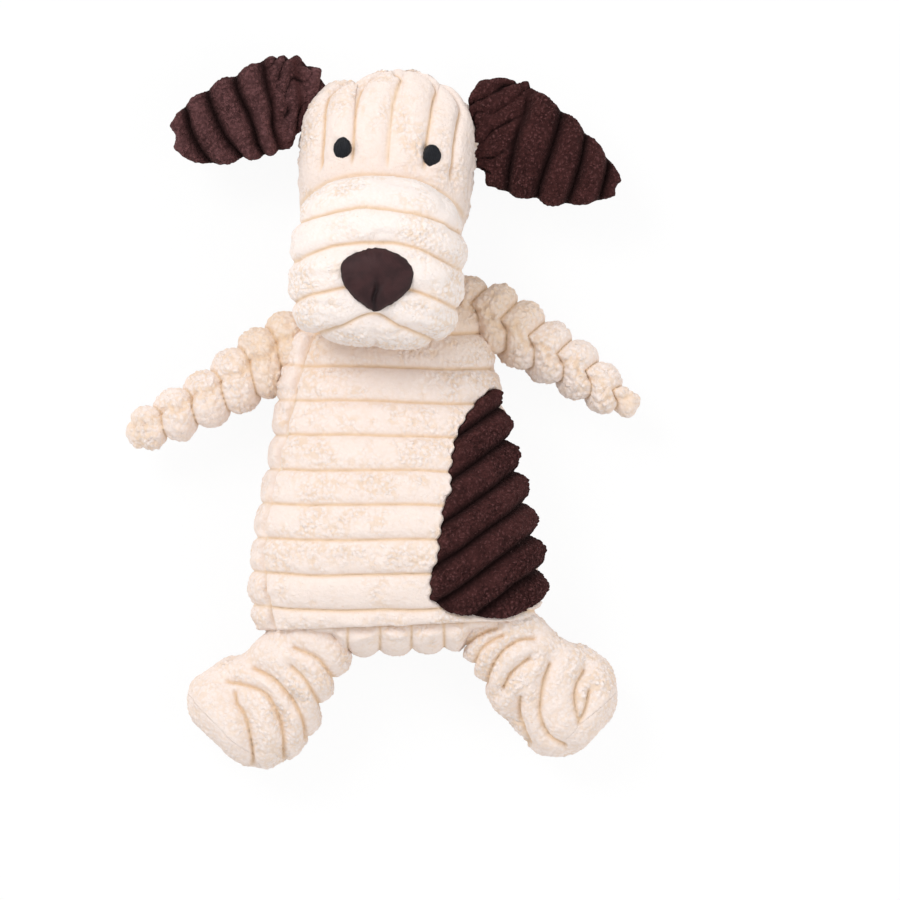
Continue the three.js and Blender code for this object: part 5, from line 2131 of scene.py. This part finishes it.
@dataclass
class Limb:
    """An arm or a leg: its sleeve, its filling and its gathering thread."""

    side: Side
    pivot: Array
    lift_axis: Array
    outline: Outline
    powers: tuple[float, float] = (3.5, 3.0)
    square: float = 2.0
    skin_inset: float = 2.0
    wadding_inset: float = 5.4
    least_height: float = 0.8
    spacing: float = 0.34
    columns: int = 180
    cloth: Corduroy = Corduroy()
    gathering: Gathering = Gathering(7.0)
    kind: ClassVar[str] = ""
    root: ClassVar[str] = ""

    def __post_init__(self) -> None:
        """Sets the frame and the form."""
        self.frame = Frame.hinged(self.pivot, self.lift_axis)
        self.lump = self.outline.lump(self.powers, self.powers, self.square)

    def laid(self, first: float, last: float) -> Grid:
        """The smooth form between two shares along.

        Args:
            first: The first share.
            last: The last share.

        Returns:
            The grid, lifted off the table.
        """
        t = self.lump.even(first, last, self.spacing)
        points = self.frame.out(self.lump.points(t[:, None], all_round(t, self.columns), self.skin_inset))
        middle = self.outline.start + self.outline.length / 2
        centre = np.array([float(self.lump.drift(np.array(0.5))), middle, 0])
        grid = Grid(points, True, self.frame.out(centre))
        grid.lift(self.least_height)
        return grid

    def filling(self, name: str) -> bpy.types.Object:
        """The limb's wadding: its inner form, clouded.

        Args:
            name: The piece's name.

        Returns:
            The object.
        """
        t = self.lump.even(0.002, 0.998, 1.0)
        angle = np.linspace(0, FULL_TURN, 60, endpoint=False)
        own = self.lump.points(t[:, None], angle[None], self.wadding_inset)
        cloud = 1 - 0.06 * soft_noise(own, 5.0, Seed.LIMB_LUMPS) - 0.05 * tufts(own, 2.6, Seed.LIMB_TUFTS)
        own[..., 0] *= cloud
        own[..., 2] *= cloud
        points = self.frame.out(own)
        return join_parts(name, [(points, points.mean(axis=(0, 1)))])

    def covers(self) -> Sequence[tuple[str, str, Grid, Ends]]:
        """The limb's cloth pieces, each as its name, its node's, its grid and its closed ends."""
        raise NotImplementedError

    def build(self, wardrobe: Wardrobe) -> None:
        """Makes and dresses the limb's pieces.

        Args:
            wardrobe: The finishes.
        """
        word = self.side.word
        limb = f"{word}_{self.kind}"
        for name, node, grid, poles in self.covers():
            wardrobe.dress(grid.mesh(f"{word}_{name}", poles), Slot.CREAM, limb, f"{limb}_{node}", 0.8)
        wardrobe.dress(self.filling(f"{limb}_wadding"), Slot.STUFFING, limb, f"{limb}_stuffing", 0.9)
        root = f"{word}_{self.root}"
        ring = self.gathering.ring(f"{root}_thread", self.frame)
        wardrobe.dress(ring, Slot.THREAD, root, f"{root}_stitches")


@dataclass
class Arm(Limb):
    """An arm: a sleeve gathered into a string of beads."""

    pitch: float = 9.0
    groove: float = 2.3
    chevron: Pairs = ((-8, 0), (8, 0))
    seam_x: float = 0.0
    seam_depth: float = 1.0
    seam_half: float = 0.8
    crumbs_half: float = 4.0
    crumb: float = 1.5
    tip_y: float = 2.5
    tip_half: float = 1.2
    tip_depth: float = 0.9
    # Where painted shade lies at the root, next to the body.
    root_y: tuple[float, float] = (17.0, 5.0)
    kind: ClassVar[str] = "arm"
    root: ClassVar[str] = "shoulder"

    def sleeve(self) -> Grid:
        """The sleeve: deep round wales across it, bent at the seam that runs along it, with painted shade at
        the seam, the tip and the root.
        """
        grid = self.laid(0.0005, 0.9995)
        x, y, z = np.moveaxis(self.frame.own(grid.points), -1, 0)
        x = x - self.lump.drift((y - self.outline.start) / self.outline.length)
        side = smooth_step(-2.0, 4.0, z)
        places, shifts = (np.array(column, float) for column in zip(*self.chevron))
        wales = (y - self.groove - np.interp(x, places, shifts) * side) / self.pitch
        wander = x - self.seam_x + 0.8 * np.sin(FULL_TURN * (y - self.groove) / self.pitch)
        line = np.exp(-(wander / self.seam_half) ** 2) * side
        near = np.exp(-(wander / self.crumbs_half) ** 2) * side
        end = grid.seam_distance(LAST, NEITHER)
        tip = np.exp(-((end - self.tip_y) / self.tip_half) ** 2)
        crumbs = (tufts(grid.points, self.crumb, Seed.CRUMBS + self.side.value) - 0.45) * 1.3 * near
        dressed = self.cloth.dress(grid, wales, np.full(x.shape, NO_SEAM), Seed.ARM + self.side.value,
                                   crumbs - self.seam_depth * line - self.tip_depth * tip)
        # Painted shade along the sunk seam line, at the tip's crease and at the root next to the body.
        root = 0.4 * smooth_step(*self.root_y, y)
        dressed.darken(0.35 * line + 0.3 * tip + root)
        # More nap near the seam and the root: more curl relief, painted highlights and painted shade between
        # curls.
        dressed.values["nap"] = np.maximum(dressed.values["nap"], np.maximum(near, 2 * root))
        return dressed

    def covers(self) -> Sequence[tuple[str, str, Grid, Ends]]:
        """The sleeve alone."""
        return (("arm_cloth", "sleeve", self.sleeve(), BOTH),)


@dataclass
class Leg(Limb):
    """A leg: a sleeve with bowed wales and a folded sole."""

    powers: tuple[float, float] = (5.0, 4.6)
    square: float = 2.3
    cloth: Corduroy = Corduroy(height=1.5, nub_floor=0.5, lump_height=0.6)
    gathering: Gathering = Gathering(7.5, around=22.0)
    grooves: Grooves = Grooves(tuple(((-12, y), (12, y)) for y in (-5, 3, 11, 19)))
    sole_from: float = 29.0
    folds: Sequence[Pairs] = ()
    crease_half: float = 0.5
    crease_depth: float = 1.0
    hollow_half: float = 2.2
    tuck: float = 1.6
    kind: ClassVar[str] = "leg"
    root: ClassVar[str] = "hip"

    def fold_distance(self, x: Array, y: Array) -> Array:
        """How far each place lies from the nearest fold's smooth line.

        Args:
            x: Places across.
            y: Places along.

        Returns:
            The distances in millimetres.
        """
        nearest = np.full(x.shape, 99.0)
        for line in self.folds:
            path = smooth_path(np.array(line, float), 4 * len(line))
            for first, second in zip(path, path[1:]):
                along = second - first
                u = np.clip(((x - first[0]) * along[0] + (y - first[1]) * along[1]) / (along @ along), 0, 1)
                far = np.hypot(x - first[0] - u * along[0], y - first[1] - u * along[1])
                nearest = np.minimum(nearest, far)
        return nearest

    def part(self, first: float, last: float) -> Grid:
        """Part of the leg's cloth: folds in front with painted shade in their creases, and level wales
        behind.

        Args:
            first: The first share along.
            last: The last share along.

        Returns:
            The grid.
        """
        grid = self.laid(first, last)
        x, y, z = np.moveaxis(self.frame.own(grid.points), -1, 0)
        front = smooth_step(-5.0, 1.0, z)
        far = self.fold_distance(x, y)
        crease = np.exp(-((far / self.crease_half) ** 2)) * front
        hollow = np.exp(-((far / self.hollow_half) ** 2)) * front
        plump = self.cloth.height * front * (1 - hollow)
        dressed = self.cloth.dress(grid, self.grooves.count(0.4 * x, y), np.full(x.shape, NO_SEAM),
                                   Seed.LEG + self.side.value, plump - self.crease_depth * crease, 1 - front)
        # Painted shade in the folds' creases.
        dressed.darken(crease)
        dressed.lift()
        return dressed

    def covers(self) -> Sequence[tuple[str, str, Grid, Ends]]:
        """The sleeve and the sole, sewn together where the foot begins."""
        split = (self.sole_from - self.outline.start) / self.outline.length
        sleeve = self.part(0.0005, split).tucked(self.tuck, LAST, NEITHER)
        sole = self.part(split, 0.99995).tucked(self.tuck, FIRST, NEITHER)
        return (("leg_cloth", "sleeve", sleeve, FIRST), ("sole_cloth", "sole", sole, LAST))


# The scene


@dataclass(frozen=True)
class Lamp:
    """A square soft lamp: its name, its place and side in metres, and its power in watts."""

    name: str
    place: tuple[float, float, float]
    size: float
    power: float

    def hang(self) -> None:
        """Adds the lamp, facing the toy."""
        data = bpy.data.lights.new(self.name, "AREA")
        data.size = self.size
        data.energy = self.power
        lamp = bpy.data.objects.new(self.name, data)
        lamp.location = self.place
        lamp.rotation_euler = (-lamp.location.normalized()).to_track_quat("-Z", "Y").to_euler()
        bpy.context.scene.collection.objects.link(lamp)


@dataclass
class Studio:
    """The floor, the lamps and the camera."""

    photo_pixels: float = 900.0
    pixel: float = 0.266
    view_x: float = 17.8
    view_y: float = -9.6
    focus_z: float = 25.0
    camera_away: float = 4500.0
    sensor: float = 36.0
    clip_end: float = 20.0
    floor_half: float = 4.0
    floor_tone: float = 0.93
    floor_glow: float = 0.92
    world_strength: float = 0.78
    lamps: Sequence[Lamp] = (
        Lamp("key", (-0.9, 0.9, 1.5), 0.8, 17.0),
        Lamp("fill", (1.1, -0.3, 1.3), 1.2, 6.0),
    )

    def camera(self) -> None:
        """Puts the camera straight above, with a lens whose view spans the photograph's width."""
        data = bpy.data.cameras.new("camera")
        data.sensor_width = self.sensor
        data.lens = self.sensor * self.camera_away / (self.photo_pixels * self.pixel)
        data.clip_end = self.clip_end
        camera = bpy.data.objects.new("camera", data)
        place = (self.view_x, self.view_y, self.focus_z + self.camera_away)
        camera.location = tuple(length * METRE for length in place)
        bpy.context.scene.collection.objects.link(camera)
        bpy.context.scene.camera = camera

    def floor_material(self) -> bpy.types.Material:
        """Pale and matt, brightened towards white for the camera, so that the shadow stays."""
        n = Nodes("floor")
        n.tree.nodes.remove(n.shader)
        cloth = n.add("ShaderNodeBsdfDiffuse", (self.floor_tone,) * 3)
        glow = n.add("ShaderNodeEmission", Strength=1.0)
        share = n.scaled(n.add("ShaderNodeLightPath").outputs["Is Camera Ray"], self.floor_glow)
        mix = n.add("ShaderNodeMixShader", share, cloth.outputs[0], glow.outputs[0])
        n.feed(n.tree.nodes["Material Output"].inputs["Surface"], mix.outputs[0])
        return n.material

    def floor(self) -> None:
        """Lays the wide floor."""
        half = self.floor_half
        mesh = bpy.data.meshes.new("floor")
        corners = [(-half, -half, 0), (half, -half, 0), (half, half, 0), (-half, half, 0)]
        mesh.from_pydata(corners, [], [(0, 1, 2, 3)])
        mesh.materials.append(self.floor_material())
        floor = bpy.data.objects.new("floor", mesh)
        bpy.context.scene.collection.objects.link(floor)

    def light(self) -> None:
        """Sets the lamps and a white world."""
        for lamp in self.lamps:
            lamp.hang()
        world = bpy.data.worlds.new("studio")
        world.use_nodes = True
        background = world.node_tree.nodes["Background"].inputs
        background["Color"].default_value = (1, 1, 1, 1)
        background["Strength"].default_value = self.world_strength
        bpy.context.scene.world = world
        bpy.context.scene.view_settings.view_transform = "Standard"

    def build(self) -> None:
        """Makes the stage."""
        self.camera()
        self.floor()
        self.light()


def joint_places(joints: Sequence[dict]) -> dict[str, tuple[Array, Array]]:
    """Reads where the joints are.

    Args:
        joints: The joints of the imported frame.

    Returns:
        Each joint's pivot in millimetres and its axis, by its name.
    """
    return {
        joint["name"]: (np.array(joint["pos_m"]) / METRE, np.array(joint["axis"]))
        for joint in joints if joint.get("pos_m")
    }


def make_ears(places: dict[str, tuple[Array, Array]]) -> list[Ear]:
    """Measures the two ears, each on its own hinge.

    Args:
        places: Each joint's pivot and axis.

    Returns:
        The ears.
    """
    depth = tuple((share, 5.9 * full) for share, full in ((0, 0.75), (0.3, 0.95), (0.6, 1), (1, 0.8)))
    return [
        Ear(Side.LEFT, *places["left_ear_flap"], Outline(
            -7.0, 46.4,
            ((0, 9.5), (0.15, 12.4), (0.3, 15.0), (0.45, 14.5), (0.6, 13.4), (0.75, 12.7), (0.88, 11.6),
             (1, 10.2)),
            ((0, 3.0), (0.15, 2.0), (0.3, 0.4), (0.45, -1.6), (0.6, -2.6), (0.75, -4.0), (1, -5.2)),
            depth), Grooves((
                ((-13, 1.5), (0, 2.5), (12, 2.5)),
                ((-11.6, 9.7), (-6.2, 10.9), (-1.0, 9.9), (5.4, 10.7), (10.7, 10.7)),
                ((-13.0, 13.7), (-10.4, 15.1), (-6.5, 15.3), (-1.5, 16.5), (4.1, 18.6), (8.4, 18.5)),
                ((-12.7, 19.4), (-8.4, 22.8), (-2.8, 24.9), (3.2, 26.3), (6.3, 26.3)),
                ((-13.7, 27.8), (-9.3, 30.6), (-4.2, 32.3), (1.6, 32.5), (3.4, 34.4)),
            )), 10.5),
        Ear(Side.RIGHT, *places["right_ear_flap"], Outline(
            -6.0, 50.4,
            ((0, 13.5), (0.16, 15.6), (0.28, 16.6), (0.42, 16.2), (0.56, 14.6), (0.68, 13.4),
             (0.84, 10.6), (1, 8.0)),
            ((0, -4.6), (0.16, -3.2), (0.28, -1.4), (0.42, -0.4), (0.56, 0.0), (0.68, 0.8), (1, 1.0)),
            depth), Grooves((
                ((-14, 3.0), (0, 4.5), (12, 6.5)),
                ((-14.0, 10.2), (-8.9, 11.7), (-3.8, 11.8), (2.2, 12.7), (7.0, 13.5), (12.1, 15.0)),
                ((-13.0, 20.4), (-9.8, 21.1), (-4.3, 21.6), (1.2, 22.1), (7.9, 22.5), (11.7, 23.2)),
                ((-9.3, 28.3), (-5.2, 29.5), (-1.0, 30.4), (4.6, 30.9), (8.6, 30.8)),
                ((-6.6, 35.9), (-2.2, 37.7), (1.7, 38.1), (4.1, 38.5)),
            )), 12.0),
    ]


def make_arms(places: dict[str, tuple[Array, Array]]) -> list[Arm]:
    """Measures the two arms, each about its own shoulder.

    Args:
        places: Each joint's pivot and axis.

    Returns:
        The arms.
    """
    beads = Corduroy(height=3.0, crest_power=2.0, rise_power=0.6, groove_from=0.88, wander=0.04,
                     nub=1.25, nub_height=0.7, nub_floor=0.4)
    return [
        Arm(Side.LEFT, *places["left_arm_lift"], Outline(
            -13.0, 62.6,
            ((0, 9.6), (0.2, 10.2), (0.35, 9.7), (0.48, 8.9), (0.6, 8.3), (0.72, 7.8), (0.86, 7.8), (1, 7.6)),
            ((0, -1.0), (0.2, -1.8), (0.35, -2.8), (0.58, -3.5), (0.86, -2.8), (1, -2.5)),
            ((0, 9.0), (0.2, 9.2), (0.35, 9.0), (0.58, 8.2), (0.86, 7.8), (1, 7.6))),
            skin_inset=3.3, cloth=beads, pitch=9.0, groove=2.4, seam_x=1.5,
            chevron=((-9, 2.4), (0, -0.4), (2.2, -1.6), (8, -2.0))),
        Arm(Side.RIGHT, *places["right_arm_lift"], Outline(
            -14.0, 60.0,
            ((0, 9.4), (0.2, 9.8), (0.36, 9.2), (0.5, 8.6), (0.64, 8.1), (0.8, 7.4), (0.9, 7.0), (1, 6.6)),
            ((0, -2.8), (0.2, -2.6), (0.36, -2.0), (0.5, -0.9), (0.64, -0.5), (0.8, 1.0), (0.9, 2.0),
             (1, 2.4)),
            ((0, 9.0), (0.2, 9.2), (0.36, 8.6), (0.64, 7.8), (0.9, 7.2), (1, 7.0))),
            skin_inset=3.0, cloth=beads, pitch=8.8, groove=4.6, seam_x=0.2,
            chevron=((-8, 0.4), (-0.6, -2.3), (1.1, 0.8), (8, 4.4))),
    ]


def make_legs(places: dict[str, tuple[Array, Array]]) -> list[Leg]:
    """Measures the two legs, each about its own hip.

    Args:
        places: Each joint's pivot and axis.

    Returns:
        The legs.
    """
    depth = ((0, 10.0), (0.3, 11.0), (0.55, 12.4), (0.75, 13.4), (0.9, 13.6), (1, 12.8))
    rise = ((0, 9.5), (0.3, 7.6), (0.55, 2.6), (0.75, 0.4), (1, 0))
    return [
        Leg(Side.LEFT, *places["left_leg_lift"], Outline(
            -13.0, 45.3,
            ((0, 12.0), (0.25, 12.6), (0.4, 13.4), (0.52, 15.0), (0.64, 16.6), (0.74, 17.4), (0.86, 17.2),
             (1, 16.6)),
            ((0, -1.5), (0.25, -2.2), (0.4, -3.2), (0.52, -4.2), (0.64, -3.4), (0.74, -3.0), (0.86, -1.4),
             (1, -0.8)),
            depth, rise),
            folds=(
                ((-14, -2.6), (-9.4, -3.1), (-4.7, -3.5), (1.6, -1.1)),
                ((-19, 6.8), (-14.4, 4.9), (-6.8, 3.0), (-1.6, 3.0)),
                ((-20, 15.5), (-15.7, 12.3), (-12.4, 10.4), (-6.8, 9.1), (-0.6, 8.8), (5.3, 10.4)),
                ((-20, 25.0), (-16.6, 21.0), (-11.6, 16.4), (-6.8, 14.2), (-2.1, 13.0), (2.5, 14.5),
                 (8.1, 17.9)),
                ((-13, 30.5), (-11.6, 27.7), (-6.2, 23.5), (-1.9, 21.0), (1.8, 20.3)),
                ((1.8, 20.3), (4.4, 18.6)),
            )),
        Leg(Side.RIGHT, *places["right_leg_lift"], Outline(
            -13.0, 46.0,
            ((0, 11.8), (0.25, 12.4), (0.38, 13.2), (0.48, 13.8), (0.58, 15.0), (0.7, 16.4), (0.82, 16.4),
             (1, 15.2)),
            ((0, -1.0), (0.25, -1.2), (0.38, -0.8), (0.48, -0.6), (0.58, -1.4), (0.7, -1.7), (0.82, -1.6),
             (1, -0.6)),
            depth, rise), powers=(5.0, 3.8),
            folds=(
                ((-2.9, -6.6), (0.1, -8.2), (3.7, -9.1), (12, -10)),
                ((-2.6, -4.0), (0.1, -5.0), (4.1, -5.4), (8.5, -4.0)),
                ((-8.1, 2.6), (-5.1, 0.1), (0.1, -1.0), (5.5, -0.1), (9.3, 1.9)),
                ((-3.3, 5.5), (-1.1, 5.1), (3.2, 4.9), (7.1, 6.0)),
                ((5.9, 11.2), (9.3, 14.1), (11.8, 19.8), (12.9, 22.2)),
                ((-6.2, 10.3), (-2.2, 12.1), (2.6, 15.5), (5.7, 18.6), (7.7, 23.8), (6.4, 28.8)),
                ((-11.7, 18.0), (-6.9, 19.5), (-3.1, 22.9), (-1.1, 26.3), (-0.6, 26.8), (-4.0, 25.6),
                 (-8.5, 22.9)),
            )),
    ]


def main() -> None:
    """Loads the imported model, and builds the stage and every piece."""
    logging.basicConfig(level=logging.INFO, format="%(name)s: %(message)s")
    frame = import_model()
    Studio().build()
    places = joint_places(frame["joints"])
    wardrobe = Wardrobe()
    Torso().build(wardrobe)
    head = Head(places["neck_turn"][0])
    head.build(wardrobe)
    neck = Frame(head.pivot, head.frame.axes)
    ring = Gathering(head.neck_ball).ring("neck_thread", neck)
    wardrobe.dress(ring, Slot.THREAD, "neck", "neck_stitches")
    for part in (*make_ears(places), *make_arms(places), *make_legs(places)):
        part.build(wardrobe)


if __name__ == "__main__":
    main()
